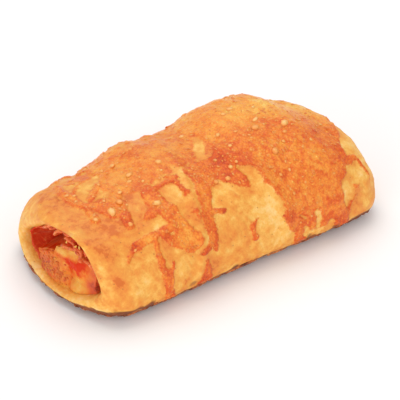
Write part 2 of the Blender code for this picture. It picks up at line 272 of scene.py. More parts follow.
# Strands of grated cheese that melted and browned: place along the roll, turn, half width.
STRANDS = (
    # The arch by the near mouth, its drip, and the blob it runs into.
    ((-64, 35, 0.7), (-62, 40, 1.1), (-59, 44, 1.7), (-56, 45, 2.7), (-52, 46, 2.7), (-47, 46, 2.9),
     (-42, 47, 2.2), (-37, 46, 2.2), (-33, 45, 2.6)),
    ((-46.5, 44, 1.6), (-47.5, 38, 1.5), (-48.5, 32, 1.8), (-49.5, 26, 2.2), (-50.3, 21, 2.0),
     (-49.6, 17, 2.0), (-48, 13, 3.2), (-47.5, 6, 3.1), (-47, 0, 3.3), (-46, -8, 3.7), (-45, -20, 4.0)),
    ((-46, 12, 1.8), (-44, 16, 1.6), (-42.8, 18.5, 0.9)),
    ((-41, 43, 2.0), (-38.5, 38, 3.0), (-34, 33, 4.5), (-30, 31, 6.0), (-28.5, 29, 6.2)),
    ((-29, 33, 5.8), (-30, 42, 5.0), (-31, 50, 4.6), (-31.5, 57, 4.9), (-33, 64, 4.6), (-33.5, 70, 4.8),
     (-33, 76, 4.2), (-31, 81, 2.6)),
    ((-37, 63, 2.4), (-40.5, 62, 2.2), (-42.5, 61, 1.4)),
    # The net beyond the near mouth.
    ((-61, 124, 1.6), (-61.5, 114, 1.8), (-60, 106, 3.0), (-60.5, 98, 2.8), (-59.5, 92, 2.4),
     (-59.8, 87, 1.6), (-61, 82, 1.7), (-61.7, 78, 2.0)),
    ((-58, 92, 2.0), (-54, 88, 2.2), (-50, 88, 2.6), (-45, 88, 2.6)),
    ((-56.0, 88, 1.8), (-55.2, 82, 1.9), (-54.4, 76, 1.9), (-52.6, 73, 1.6)),
    ((-49.5, 87, 4.6), (-49.6, 81, 4.8), (-49.6, 75, 3.9), (-50, 70, 3.0), (-51, 66, 2.6),
     (-52.6, 61.5, 2.0)),
    ((-46, 88, 2.6), (-43, 89, 1.8), (-39, 92, 1.2)),
    ((-55, 94, 1.1), (-52, 97, 1.4), (-49, 99, 1.5), (-46, 102, 1.8), (-43, 105, 1.9), (-39, 109, 2.4)),
    ((-57, 108, 1.2), (-54, 112, 0.9), (-49, 114, 0.9), (-42, 113, 1.3), (-38, 114, 2.0)),
    ((-38, 112, 3.4), (-32, 117, 5.5), (-27, 118, 4.5), (-32, 128, 6.0), (-42, 134, 4.0)),
    # The strand over the fold, its upper branches, and its spur.
    ((-20, 81, 2.0), (-19.2, 75, 1.6), (-18.4, 69, 1.2), (-18.6, 63, 1.5)),
    ((-30, 78, 1.6), (-24, 78, 1.4), (-18, 79, 1.6), (-10, 80, 2.6), (-3, 80, 2.0)),
    ((-9, 79, 3.4), (-8, 73, 4.4), (-9, 66, 4.4), (-11.5, 60, 3.9), (-12.6, 54, 3.5), (-14.5, 48, 3.0),
     (-16.4, 42, 2.8), (-16.6, 35, 3.1), (-16, 29, 2.9), (-16.8, 24, 2.8), (-18.6, 19, 2.7),
     (-22, 16.6, 2.0), (-24, 16.2, 1.2)),
    ((-13, 43, 2.2), (-10, 41, 1.9), (-7, 39.8, 1.4)),
    ((-17.2, 18, 2.0), (-16.8, 14, 1.1)),
    ((-20.6, 49, 0.9), (-20, 43, 1.0)),
    # Small strokes and drips towards the base.
    ((7.4, 25.8, 0.4), (5, 24, 1.0), (3.4, 21.5, 1.5), (3, 17, 1.2), (3, 13, 1.3), (3.4, 9.5, 1.6)),
    ((-22.3, 9, 1.0), (-23, 5, 2.0), (-22.6, 0, 2.6), (-23, -8, 3.6), (-23, -20, 4.5)),
    ((26.2, 4, 2.2), (26.4, -2, 2.3), (27.5, -10, 3.2), (28, -20, 4.0)),
    ((48, 4, 3.6), (48.5, -4, 4.6), (49, -12, 4.6), (49, -20, 4.6)),
    ((40.6, 7, 1.4), (42, 2, 1.2)),
    # The dark patch over the middle, left of the sheet.
    ((-1.5, 80, 3.2), (2, 77, 5.0), (4, 71, 6.4), (4, 66, 5.2), (5.5, 61, 4.4), (7.6, 57, 3.6),
     (9, 53.5, 2.4)),
    ((3, 79, 3.6), (9, 78, 6.4), (14, 76, 6.4)),
    ((-4, 80, 4.0), (-3.6, 72, 3.6), (-3.6, 66, 2.4)),
    # The far rim: a thin strand that runs down beside the pale patch.
    ((62, 43, 2.2), (65, 45.5, 2.4), (67.5, 45, 1.8), (69, 39, 1.2), (69.6, 32, 1.1), (70, 25, 0.9),
     (70.2, 20, 0.4)),
    ((59.6, 21.2, 1.8), (61, 20.8, 1.0)),
    ((60, 14, 0.8), (57.5, 10, 0.6), (54, 3, 1.1), (53.5, 1, 1.4)),
)
# Both edges of the sheet over the far half: turn, place along the roll.
SHEET_LEFT = (
    (-8, 25.5), (1, 24.0), (6, 22.0), (10, 20.2), (15, 19.2), (20, 18.8), (25, 19.4), (30, 20.0),
    (35, 19.4), (40, 18.4), (45, 17.2), (50, 16.4), (56, 16.2), (62, 15.2), (66, 13.0), (70, 9.0),
    (76, 6.5), (84, 8.5), (92, 8.0), (103, 8.5), (112, 5.0), (125, 8.0), (140, 13.0), (155, 9.0),
    (170, 14.0), (190, 17.0),
)
SHEET_RIGHT = (
    (-8, 53.5), (2, 53.0), (8, 52.4), (16, 52.4), (23, 51.8), (28, 53.0), (33, 56.5), (38, 60.0),
    (42, 61.5), (50, 64.0), (57, 64.5), (62, 66.0), (66, 69.0), (70, 71.5), (76, 74.0), (85, 75.0),
    (95, 73.0), (105, 72.0), (115, 69.0), (125, 66.0), (140, 62.0), (160, 64.0), (175, 57.0), (190, 55.0),
)
SHEET_LOW, SHEET_HIGH = -2.0, 182.0
# Bare dough that shows through the cheese.
BARE = (
    ((37, 0, 1.4), (37.2, 5, 1.7), (37, 10, 1.4), (36.6, 13, 0.6)),
    ((29.6, 2.5, 0.8), (30.6, -1, 1.3), (31, -8, 1.0)),
    ((31, 10, 0.6), (28.5, 13.5, 0.5)),
    ((43.2, -1, 1.4), (42.6, -6, 2.0), (41, -14, 5.0)),
    ((33.8, -4, 2.2), (36, -14, 3.0)),
    ((-3, 83.5, 0.3), (-0.5, 87, 1.6), (3, 92, 2.6), (5.4, 97, 2.0), (7, 102.5, 0.5)),
    ((-16.2, 66, 1.3), (-15.2, 71, 2.5), (-15, 77, 2.1), (-15.2, 83, 1.9), (-15.5, 88, 0.6)),
    ((13, 64, 0.4), (13.6, 61, 1.1), (14.4, 55, 1.4), (15, 49, 0.8)),
    ((-49, 106.5, 2.2), (-53, 103.5, 3.0), (-46, 109, 2.6), (-42, 111.5, 1.4)),
    ((-52.5, 93.5, 0.6), (-48.5, 92.8, 1.4), (-44, 93, 0.7)),
)
# A thin veil of melted cheese over the top, in patches: depth by place.
VEIL = (
    (-12, 104, 34, 14, 3.2), (26, 118, 40, 22, 2.0), (-24, 92, 12, 7, 1.6), (0, 88, 14, 6, 1.4),
    (-40, 88, 8, 8, 1.4), (-36, 98, 9, 7, 2.8), (-20, 97, 9, 9, 2.8), (-6, 102, 9, 9, 2.4),
    (-24, 108, 8, 8, 2.4), (0, 116, 12, 9, 2.8), (-50, 122, 9, 7, 3.0), (-33, 90, 8, 6, 1.8),
    (-10, 94, 6, 8, 1.6), (10, 106, 7, 9, 1.6), (-62, 118, 4, 10, 2.2), (-8, 90, 6, 3, 1.8),
    (-49, 120, 8, 4, 1.6), (-28, 86, 6, 3, 1.4), (-44, 98, 3, 5, 1.2), (66, 92, 8, 20, 1.4),
)
# Strands on the back, where grated cheese fell as it did on the front: made by chance.
chance = np.random.default_rng(7)
for start in np.linspace(-58, 8, 9):
    place, angle, chain = start + chance.uniform(-3, 3), chance.uniform(116, 138), []
    for _ in range(chance.integers(4, 7)):
        chain.append((place, angle, chance.uniform(1.4, 3.6)))
        place, angle = place + chance.uniform(-5, 5), angle + chance.uniform(7, 13)
    chain.append((place, angle, 0.8))
    STRANDS += (tuple(chain),)

# The rows run from the near opening's edge over both rims to the far one, then back inside.
ROW_STEP, RIM_ROW_STEP, TURN_STEP, BASE_STEP = 0.68, 1.0, 0.95, 4.0
rim_rows = np.arange(BARREL + RIM * math.pi, BARREL, -RIM_ROW_STEP)
along_rows = np.concatenate([-rim_rows, np.arange(-BARREL, BARREL, ROW_STEP), rim_rows[::-1]])
inner_rows = np.concatenate([
    np.linspace(MOUTH, MOUTH - 12, 8)[1:], np.linspace(MOUTH - 20, 22 - MOUTH, 5),
    np.linspace(12 - MOUTH, -MOUTH, 12)[:-1]])
turns = np.concatenate([np.arange(-40, 220, TURN_STEP), np.arange(220, 320, BASE_STEP)])
along, turn = np.meshgrid(along_rows, turns, indexing="ij")
girth = turn * GIRTH
bare = np.concatenate([crust(along, turn), opening_section(*np.meshgrid(inner_rows, turns, indexing="ij"))])

# Depth inside the cheese, measured along lines that noise has made uneven.
warped_along = along + 0.9 * grain(along, girth, 4.3, 1) + 0.45 * grain(along, girth, 1.7, 2)
warped_girth = girth + 0.9 * grain(along, girth, 4.7, 3) + 0.45 * grain(along, girth, 1.6, 4)
warped_turn = warped_girth / GIRTH
melt = np.minimum.reduce((
    warped_along - np.interp(warped_turn, *zip(*SHEET_LEFT)),
    np.interp(warped_turn, *zip(*SHEET_RIGHT)) - warped_along,
    (warped_turn - SHEET_LOW) * GIRTH, (SHEET_HIGH - warped_turn) * GIRTH))
for chain in STRANDS:
    melt = np.maximum(melt, inside_chain(warped_along, warped_girth, chain))
veil = spots(along, turn, -2.2, VEIL)
veil = veil + 0.9 * grain(along, girth, 2.6, 5) + 0.7 * grain(along, girth, 6.0, 6)
for chain in BARE:
    bare_depth = inside_chain(warped_along, warped_girth, chain)
    melt, veil = np.minimum(melt, -bare_depth), np.minimum(veil, -1.2 * bare_depth)
melt = np.clip(melt, -4, 4)
# Streaks of fat and dough 1.5 mm wide and 5.5 mm long run askew, as the strip was stretched.
SKEW, STREAK, STRETCH = 0.45, 1.5, 22.0 / 6.0
streak = grain(along + SKEW * girth, (girth - SKEW * along) / STRETCH, STREAK, 8)
veil = smooth(-1.6, 1.4, veil + 0.5 * streak)

# How brown the cheese is, how deep the colour of the bare dough is, where painted light makes the shaded
# near lip paler, and where the tray burnt it.
CHEESE_TONES = (
    (3, 78, 6, 7, 0.14), (6, 70, 8, 6, 0.13), (3, 63, 5, 5, 0.12), (8, 56, 4, 4, 0.16),
    (14, 76, 6, 8, 0.05), (-57, 45, 3, 4, 0.24), (-38, 40, 4, 6, 0.14), (-31, 58, 4, 6, 0.12),
    (-50, 68, 4, 6, 0.14), (-61, 104, 4, 12, 0.12), (-28, 27, 6, 7, -0.10), (-46, 46, 8, 4, -0.06),
    (-14.5, 30, 2.5, 9, 0.18), (-22, 16, 4, 3, 0.22), (-7, 39.5, 2, 3, 0.2), (-47, -6, 5, 9, 0.12),
    (-23, -6, 5, 9, 0.2), (27, -5, 5, 7, 0.14), (49, -4, 6, 8, 0.2), (22, 17, 5, 8, 0.14),
    (42, 4, 3, 4, 0.16), (32, 17, 6, 6, 0.08), (53, 38, 4, 7, 0.16), (61, 50, 4, 10, 0.14),
    (66, 44, 3, 4, 0.16), (62, 72, 9, 7, 0.08), (-18, 107, 5, 5, 0.16), (-31, 118, 7, 7, 0.08),
    (3, 22, 3, 4, 0.04), (3.4, 10, 2, 3, 0.12), (34, 98, 16, 9, -0.20), (-36, 98, 10, 9, -0.24),
    (-8, 101, 12, 9, -0.18), (-20, 92, 10, 5, -0.10), (50, 98, 14, 12, -0.20), (69, 100, 8, 22, -0.34),
    (30, 122, 40, 12, -0.12), (-39, 40, 3, 3, 0.16), (-37, 35, 2.6, 3, 0.16), (-30, 36, 4, 3, -0.12),
    (-30, 78, 8, 3, 0.1), (-22, 78, 6, 2.5, 0.12), (-47, 12, 4, 8, 0.08), (-51, 64, 3, 3, 0.14),
    (17, 80, 5, 8, 0.10), (38, 27, 10, 9, -0.06), (45, 52, 9, 9, -0.05), (30, 45, 9, 10, 0.02),
    (59.6, 21, 3, 3, -0.16),
)
DOUGH_TONES_AND_LIP_LIGHT = (
    (-2, 55, 6, 8, -0.35), (10, 28, 8, 14, -0.32), (-8, 40, 5, 9, -0.25), (16, 30, 4, 26, -0.28),
    (14, 4, 10, 8, -0.25), (-36, 15, 9, 5, -0.24), (-22, 68, 5, 9, -0.30), (-14, 78, 4, 12, -0.30),
    (3, 92, 5, 9, -0.34), (-22, 82, 4, 4, -0.2), (-49, 106, 9, 6, -0.22), (37, 6, 3, 8, -0.3),
    (55, 19, 4, 9, -0.34), (64, 31, 5, 10, -0.34), (67, 57, 5, 7, -0.32), (74, 55, 5, 12, -0.2),
    (74, 30, 5, 14, -0.2), (-40, 53, 4, 5, -0.22), (-62, 8, 7, 14, -0.14), (-43, 72, 3, 9, -0.16),
    (7, 46, 7, 4, 0.2), (-4, 20, 8, 5, 0.14), (-70, 50, 4, 6, 0.28), (-73, 17, 3, 14, 0.26),
    (-60, 64, 9, 8, 0.18), (-8, 26, 4, 8, 0.12), (-66, 15, 3, 9, -0.1), (-20, 45, 2, 6, 0.2),
    (60, 6, 5, 8, 0.1), (-16, 4, 5, 5, 0.2), (-67, 90, 5, 14, 0.12), (-74, 95, 6, 30, 0.02),
    (57, 30, 4, 5, 0.2), (-53, 66, 6, 5, 0.12), (-33, 2, 6, 4, 0.08), (-73, 30, 2.2, 24, 0.24),
    (-68, 44, 3, 10, 0.20), (-64, 70, 10, 12, 0.16), (-60, 55, 10, 6, 0.12), (-42, 84, 8, 9, 0.22),
    (-6, 48, 7, 4, 0.16), (-43, 34, 3, 6, 0.18), (-24, 54, 4, 4, 0.12), (56, 6, 6, 4, 0.14),
    (59, 13, 1.6, 6, 0.3), (-25, 36, 2, 9, 0.16), (2, 12, 4, 6, 0.06), (-2, 30, 2, 12, 0.06),
    # The four entries from (-80, -34) to (-92, 160) make the near lip and the inner slope of its rim paler:
    # painted light on faces that turn down and inward into shade.
    (-58, 24, 6, 12, -0.06), (-80, -34, 12, 22, -0.34), (-82, 285, 16, 46, -0.38),
    (-80, 214, 14, 34, -0.36), (-92, 160, 12, 40, -0.40), (-74, 100, 6, 26, 0.14),
    (-66, 112, 8, 14, 0.10), (-67, 100, 6, 30, 0.10),
)
BURNS = (
    (-64, -14, 8, 5, 0.7), (-57, -9, 2.4, 7, 0.5), (-30, -7, 2.6, 6, 0.8), (-7, -13, 2.0, 6, 0.9),
    (32.5, -8, 1.6, 6, 0.7), (46, -11, 2.0, 7, 0.8), (57.5, -16, 2.2, 6, 0.7), (12, -20, 5, 4, 0.5),
    (66, -16, 4, 4, 0.4), (-72, -20, 5, 6, 0.7),
)
brown = spots(along, turn, 0.47, CHEESE_TONES) + 0.07 * streak - 0.12 * smooth(80, 112, turn)
brown += 0.10 * grain(along, girth, 5.5, 11) + 0.09 * grain(along, girth, 2.4, 12)
crown = smooth(50, 80, turn) * smooth(200, 180, turn)
dough_tone = spots(along, turn, 0.54, DOUGH_TONES_AND_LIP_LIGHT) + 0.12 * veil + 0.10 * streak + 0.10 * crown
dough_tone += 0.12 * grain(along, girth, 7.0, 13) + 0.08 * grain(along, girth, 2.8, 14)
# The tray browned the skin up to 4 to 6 mm above it, and higher on the near rim, which overhangs.
OVERHANG = 1.6
near_rim = smooth(BARREL + 0.6 * RIM, BARREL + 1.4 * RIM, -along)
above_tray = bare[:len(along_rows), :, 2] - OVERHANG * near_rim
uneven = 1.3 * grain(along, girth, 7.0, 16) + 0.7 * grain(along, girth, 2.2, 17)
burn = 1.3 * spots(along, turn, 0.0, BURNS) * smooth(13.0, 6.0, above_tray)
burn = burn + 1.2 * smooth(6.2, 3.9, above_tray + uneven)
burn = burn * smooth(BARREL + 2.1 * RIM, BARREL + 1.7 * RIM, np.abs(along))
burn = np.clip(burn + 0.18 * grain(along, girth, 3.0, 15) * (burn > 0.1), 0, 1)

# Height above the bare skin: the wound edges of the dough, the cheese, and both their textures.
# Each fold: half width, rise, and its line.
FOLDS = (
    (2.8, 1.4, (
        (-1, 176, 0), (-3, 140, 0), (-9, 104, 0), (-16, 70, 0), (-20, 46, 0), (-22, 22, 0), (-26, 4, 0))),
    (3.2, 1.5, ((9, 84, 0), (15, 64, 0), (19, 40, 0), (20, 6, 0))),
)
rise = 0.34 * grain(along, girth, 15, 21) + 0.30 * grain(along, girth, 6, 22)
rise += 0.12 * grain(along, girth, 2.4, 23) + 0.13 * streak
for half, height, chain in FOLDS:
    rise += height * np.exp(-((inside_chain(along, girth, chain) / half) ** 2))
CHEESE_RISE, BEAD_RISE, BEAD_IN, BEAD_HALF = 0.75, 0.25, 0.9, 0.7     # melted cheese beads at its edge
inside = np.maximum(smooth(-0.4, 1.5, melt), 0.6 * veil)
lumps = 0.22 * grain(along, girth, 2.4, 24) + 0.16 * grain(along, girth, 1.3, 25)
rise += inside * (CHEESE_RISE + lumps) + BEAD_RISE * np.exp(-(((melt - BEAD_IN) / BEAD_HALF) ** 2))
rise *= smooth(-22, -6, turn) * smooth(205, 188, turn)
rise *= smooth(BARREL + 2.4 * RIM, BARREL + 1.2 * RIM, np.abs(along))
rise = np.concatenate([rise, np.zeros((len(inner_rows), len(turns)))])
bare_normals = grid_normals(bare)
skin = bare + bare_normals * rise[..., None]
skin[..., 2] = np.maximum(skin[..., 2], 0.0)

# Baked white bread and browned cheddar: light goes a millimetre into both and comes out warmer.
# The bread is dry and dull; the cheese has fried in its own fat and shines.
crust_material, tree, shader = new_material("baked_bread_and_browned_cheese")
place = add_node(tree, "TexCoord").outputs["Object"]
# Size in mm, detail and roughness. The finest mottles are 0.6 mm across, drawn at 0.8 mm so that
# they show.
fine, mottle, blotch = (
    add_node(tree, "TexNoise", [("Vector", place)], Scale=1 / (size * MM), Detail=detail, Roughness=rough)
    for size, detail, rough in ((0.8, 3.0, 0.6), (2.6, 3.0, 0.55), (8.0, 2.0, 0.5)))
melt_value, brown_value, dough_value, burn_value, veil_value = (
    add_node(tree, "Attribute", attribute_name=name).outputs["Fac"]
    for name in ("melt", "brown", "dough", "burn", "veil"))


def mix_in(tree, base, *terms):
    """Sum of a value and of others' distance from one half, each times its weight."""
    for value, weight in terms:
        spread = add_node(
            tree, "Math", [(0, value)], operation="MULTIPLY_ADD", i1=weight, i2=-weight / 2)
        base = add_node(tree, "Math", [(0, base), (1, spread)], operation="ADD")
    return base


edge = mix_in(tree, melt_value, (fine, 1.6), (mottle, 1.2))
strand = add_node(tree, "MapRange", [(0, edge)], From_Min=-0.35, From_Max=0.5)
film = mix_in(tree, veil_value, (mottle, 0.9), (fine, 0.6))
film = add_node(tree, "MapRange", [(0, film)], From_Min=0.25, From_Max=0.9, To_Max=0.85)
cover = add_node(tree, "Math", [(0, strand), (1, film)], operation="MAXIMUM")
dough_mix = mix_in(tree, dough_value, (mottle, 0.95), (blotch, 0.6), (fine, 0.5))
dough_colour = add_node(tree, "ValToRGB", [(0, dough_mix)], stops=(
    (0.0, "#F9CD84"), (0.3, "#F3B858"), (0.55, "#EC9F42"), (0.85, "#E68836"), (1.0, "#D87028"),
))
# Brown pinpricks, where steam broke through the skin.
prick = add_node(tree, "TexVoronoi", [("Vector", place)], Scale=1 / (4.0 * MM), feature="F1")
prick = add_node(tree, "MapRange", [(0, prick)], From_Min=0.11, From_Max=0.05, To_Max=0.7)
dough_colour = add_node(
    tree, "Mix", [(0, prick), (6, dough_colour)], data_type="RGBA", i7=linear("#B86A30")).outputs[2]
# Curds: rounded cells about a millimetre across, paler at their middles and darker towards their edges; on
# some cells a pale speck is painted in as a glint of light, and also raised a little in the bump; and the
# thin edge of each strand is fried darkest.
curd = add_node(tree, "TexVoronoi", [("Vector", place)], Scale=1 / (1.15 * MM), feature="F1")
cell = add_node(tree, "TexVoronoi", [("Vector", place)], Scale=1 / (2.1 * MM), feature="F1")
pick = add_node(tree, "SeparateColor", [(0, cell.outputs["Color"])])
glint_speck = add_node(tree, "MapRange", [(0, cell)], From_Min=0.24, From_Max=0.10)
picked = add_node(tree, "MapRange", [(0, pick)], From_Min=0.40, From_Max=0.50)
glint_speck = add_node(tree, "Math", [(0, glint_speck), (1, picked)], operation="MULTIPLY")
fried = add_node(tree, "MapRange", [(0, edge)], From_Min=1.5, From_Max=0.3)
cheese_mix = mix_in(
    tree, brown_value, (fine, 0.60), (mottle, 0.55), (blotch, 0.25), (curd, 0.26), (fried, 0.12),
    (glint_speck, -0.38))
cheese_colour = add_node(tree, "ValToRGB", [(0, cheese_mix)], stops=(
    (0.0, "#FCCC68"), (0.2, "#F9B04A"), (0.42, "#F59A38"), (0.6, "#EE8028"), (0.78, "#E2621A"),
    (0.92, "#DA5616"), (1.0, "#C84812"),
))
colour = add_node(
    tree, "Mix", [(0, cover), (6, dough_colour), (7, cheese_colour)], data_type="RGBA").outputs[2]
burnt = mix_in(tree, burn_value, (mottle, 0.9))
burnt = add_node(tree, "MapRange", [(0, burnt)], From_Min=0.3, From_Max=0.9)
burnt_colour = add_node(tree, "ValToRGB", [(0, mottle)], stops=((0.3, "#6B3217"), (0.7, "#9C5426")))
colour = add_node(tree, "Mix", [(0, burnt), (6, colour), (7, burnt_colour)], data_type="RGBA").outputs[2]
gloss = mix_in(tree, cover, (fine, 0.5))
gloss = add_node(tree, "MapRange", [(0, gloss)], To_Min=0.52, To_Max=0.34)
curds = mix_in(tree, fine, (curd, -0.9), (glint_speck, 0.7))
curds = add_node(tree, "Math", [(0, curds), (1, cover)], operation="MULTIPLY")
relief = mix_in(tree, curds, (mottle, 0.8), (fine, 0.5))
bump = add_node(tree, "Bump", [("Height", relief)], Strength=0.55, Distance=0.55 * MM)
add_node(
    tree, shader, [("Base Color", colour), ("Roughness", gloss), ("Normal", bump)],
    Specular_IOR_Level=0.32, Subsurface_Weight=0.25, Subsurface_Scale=1.0,
    Subsurface_Radius=(1.6 * MM, 0.8 * MM, 0.4 * MM))

inner_blank = np.zeros((len(inner_rows), len(turns)))
roll = make_piece(
    "baked_roll", skin, grid_faces(*skin.shape[:2], True, True), crust_material,
    melt=np.concatenate([melt, inner_blank - 3]), brown=np.concatenate([brown, inner_blank + 0.5]),
    dough=np.concatenate([dough_tone, inner_blank + 0.2]), burn=np.concatenate([burn, inner_blank]),
    veil=np.concatenate([veil, inner_blank]))
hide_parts("pastry")
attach(roll, "root")

# ------------------------------------------------------------------------------------------------
# Blisters: steam lifted the skin of fat on the melted cheese into bubbles, which dried pale and
# crisp; the larger ones are placed, the small ones are strewn by chance over the cheese.
seed_ball = bmesh.new()
bmesh.ops.create_icosphere(seed_ball, subdivisions=2, radius=1.0)
BALL_POINTS = np.array([vertex.co[:] for vertex in seed_ball.verts])
BALL_FACES = np.array([[vertex.index for vertex in face.verts] for face in seed_ball.faces])
seed_ball.free()
# Place along the roll, turn, radius, length for width.
BUBBLES = (
    (-61.3, 78.5, 1.1, 1.2), (-61, 106, 1.0, 1.3), (-58.6, 102.5, 0.9, 1.0), (-60, 98, 0.7, 1.1),
    (-53.4, 77.5, 1.7, 1.5), (-51.8, 62.3, 1.1, 1.1), (-46.7, 82, 1.4, 1.1), (-42.5, 88.5, 1.0, 1.1),
    (-51.5, 88, 0.8, 1.0), (-33.3, 67, 1.5, 1.2), (-32, 96, 1.5, 1.1), (-34.5, 92, 1.0, 1.3),
    (-32.5, 111, 1.3, 1.1), (-38, 113, 1.1, 1.2), (-18, 93, 1.5, 1.0), (-20, 88, 0.7, 1.0),
    (-3, 63.5, 1.0, 1.1), (2.3, 62, 1.2, 1.0), (4, 79, 0.7, 1.2), (7.3, 69.5, 1.1, 1.0),
    (10.7, 70.5, 0.8, 1.0), (14, 83, 0.8, 1.2), (14.3, 93, 1.1, 1.0), (4, 108, 1.2, 1.1),
    (24, 102, 1.2, 1.1), (29.5, 104, 1.3, 1.3), (30, 86.5, 1.7, 1.3), (34, 91, 1.0, 2.2),
    (44.5, 82.5, 1.7, 1.2), (29.5, 67, 1.7, 1.1), (41, 77, 0.9, 1.3), (37, 71.5, 0.8, 1.1),
    (25.5, 50, 0.8, 1.0), (31, 51, 0.7, 1.2), (27.5, 33, 0.7, 1.2), (35, 38, 0.7, 1.0),
    (64, 80, 0.9, 1.3), (-21, 112, 1.0, 1.1), (40, 99, 0.9, 1.2), (54, 84, 1.0, 1.5), (-30, 88, 0.8, 1.0),
    (-26, 95, 0.7, 1.2), (-45, 78, 0.7, 1.0), (20, 74, 0.7, 1.1), (50, 66, 0.7, 1.2), (18, 130, 1.3, 1.2),
    (36, 142, 1.5, 1.1), (48, 128, 1.2, 1.3), (26, 158, 1.2, 1.1), (54, 150, 1.1, 1.2),
    (-40, 132, 1.2, 1.1), (-20, 140, 1.0, 1.2), (40, 165, 1.0, 1.2), (20, 145, 0.9, 1.1),
)
SPECKS = 760


def on_skin(place, angle):
    """Point and outward direction of the finished skin at a place and turn, between grid points."""
    i = np.interp(place, along_rows, np.arange(len(along_rows)))
    j = np.interp(angle, turns, np.arange(len(turns)))
    i0, j0 = np.minimum(i.astype(int), len(along_rows) - 2), np.minimum(j.astype(int), len(turns) - 2)
    a, b = (i - i0)[:, None], (j - j0)[:, None]
    low = skin[i0, j0] * (1 - a) + skin[i0 + 1, j0] * a
    high = skin[i0, j0 + 1] * (1 - a) + skin[i0 + 1, j0 + 1] * a
    return low * (1 - b) + high * b, bare_normals[i0, j0]


def lumps_at(centres, outward, heading, radii, stretch, height, chance):
    """Small closed lumps: a ball stretched along a heading in the surface, flattened along its
    normal, each point's radius changed by up to a sixth. Returns points, faces and the share of each
    lump's height."""
    along_surface = heading - outward * (heading * outward).sum(-1, keepdims=True)
    along_surface /= np.linalg.norm(along_surface, axis=-1, keepdims=True)
    across = np.cross(outward, along_surface)
    rough = 1 + chance.uniform(-0.17, 0.17, (len(centres), len(BALL_POINTS), 1))
    ball = BALL_POINTS[None] * rough * radii[:, None, None]
    points = centres[:, None] + (
        ball[..., :1] * stretch[:, None, None] * along_surface[:, None] + ball[..., 1:2] * across[:, None]
        + ball[..., 2:] * height * outward[:, None])
    faces = BALL_FACES[None] + np.arange(len(centres))[:, None, None] * len(BALL_POINTS)
    share = np.broadcast_to((BALL_POINTS[:, 2] + 1) / 2, (len(centres), len(BALL_POINTS)))
    return points.reshape(-1, 3), faces.reshape(-1, 3), share.ravel()


chance = np.random.default_rng(71)
odds = np.maximum(smooth(0.5, 1.2, melt), veil**2) * (0.35 + np.exp(-(((turn - 84) / 24) ** 2)))
odds = odds * (turn > 8) * (turn < 178)
chosen = chance.choice(odds.size, SPECKS, replace=False, p=(odds / odds.sum()).ravel())
bubbles = np.array(BUBBLES)
bubble_place = np.concatenate([bubbles[:, 0], along.ravel()[chosen] + chance.uniform(-0.3, 0.3, SPECKS)])
bubble_turn = np.concatenate([bubbles[:, 1], turn.ravel()[chosen] + chance.uniform(-0.4, 0.4, SPECKS)])
bubble_radius = np.concatenate([bubbles[:, 2], 0.26 + 0.36 * chance.random(SPECKS) ** 2])
bubble_stretch = np.concatenate([bubbles[:, 3], chance.uniform(1.0, 1.9, SPECKS)])
centres, outward = on_skin(bubble_place, bubble_turn)
heading = chance.normal(size=centres.shape)
points, faces, share = lumps_at(centres, outward, heading, bubble_radius, bubble_stretch, 0.5, chance)
paleness = np.concatenate([chance.uniform(0.7, 1.0, len(bubbles)), chance.uniform(0.3, 0.85, SPECKS)])
pale = share * np.repeat(paleness, len(BALL_POINTS))

# Crisp cheese skin: pale and nearly dry on top of a bubble, fried orange where it meets the sheet.
bubble_material, tree, shader = new_material("crisp_cheese_skin")
place = add_node(tree, "TexCoord").outputs["Object"]
fine = add_node(tree, "TexNoise", [("Vector", place)], Scale=1 / (0.7 * MM), Detail=2.0, Roughness=0.6)
pale_value = add_node(tree, "Attribute", attribute_name="pale").outputs["Fac"]
colour = add_node(tree, "ValToRGB", [(0, mix_in(tree, pale_value, (fine, 0.4)))], stops=(
    (0.35, "#E67C2E"), (0.6, "#EF9842"), (0.85, "#F6B462"), (1.0, "#FAC67C"),
))
bump = add_node(tree, "Bump", [("Height", fine)], Strength=0.4, Distance=0.3 * MM)
add_node(
    tree, shader, [("Base Color", colour), ("Normal", bump)], Roughness=0.38, Subsurface_Weight=0.25,
    Subsurface_Scale=1.0, Subsurface_Radius=(1.2 * MM, 0.7 * MM, 0.3 * MM))

bubble_piece = make_piece("cheese_blisters", points, faces, bubble_material, pale=pale)
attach(bubble_piece, "root")

# ------------------------------------------------------------------------------------------------
# The foot: where the roll stood on the tray, fat and crumbs of dough and cheese fried to a ragged
# dark edge all round. The crumbs are lumps stuck to the skin a little above the tray, in stretches.
FOOT_LUMPS, FOOT_HEIGHT, FOOT_SPREAD = 460, 2.6, 1.3
skin_height, skin_upward = skin[:len(along_rows), :, 2], bare_normals[:len(along_rows), :, 2]
odds = np.exp(-(((skin_height - FOOT_HEIGHT) / FOOT_SPREAD) ** 2)) * (skin_upward > -0.88)
odds = odds * (np.abs(along) < BARREL + 1.75 * RIM) * np.gradient(turns)
odds = odds * (grain(along, girth, 9.0, 18) > -0.25)
chance = np.random.default_rng(72)
chosen = chance.choice(odds.size, FOOT_LUMPS, replace=False, p=(odds / odds.sum()).ravel())
centres, outward = on_skin(along.ravel()[chosen], turn.ravel()[chosen])
centres[:, 2] = np.maximum(centres[:, 2], 0.45)
radii = chance.uniform(0.4, 1.25, FOOT_LUMPS)
heading = np.array([1.0, 0.0, 0.0]) + 0.5 * chance.normal(size=(FOOT_LUMPS, 3))
stretch = chance.uniform(1.0, 2.6, FOOT_LUMPS)
points, faces, _ = lumps_at(centres, outward, heading, radii, stretch, 0.55, chance)
points[:, 2] = np.maximum(points[:, 2], 0.0)
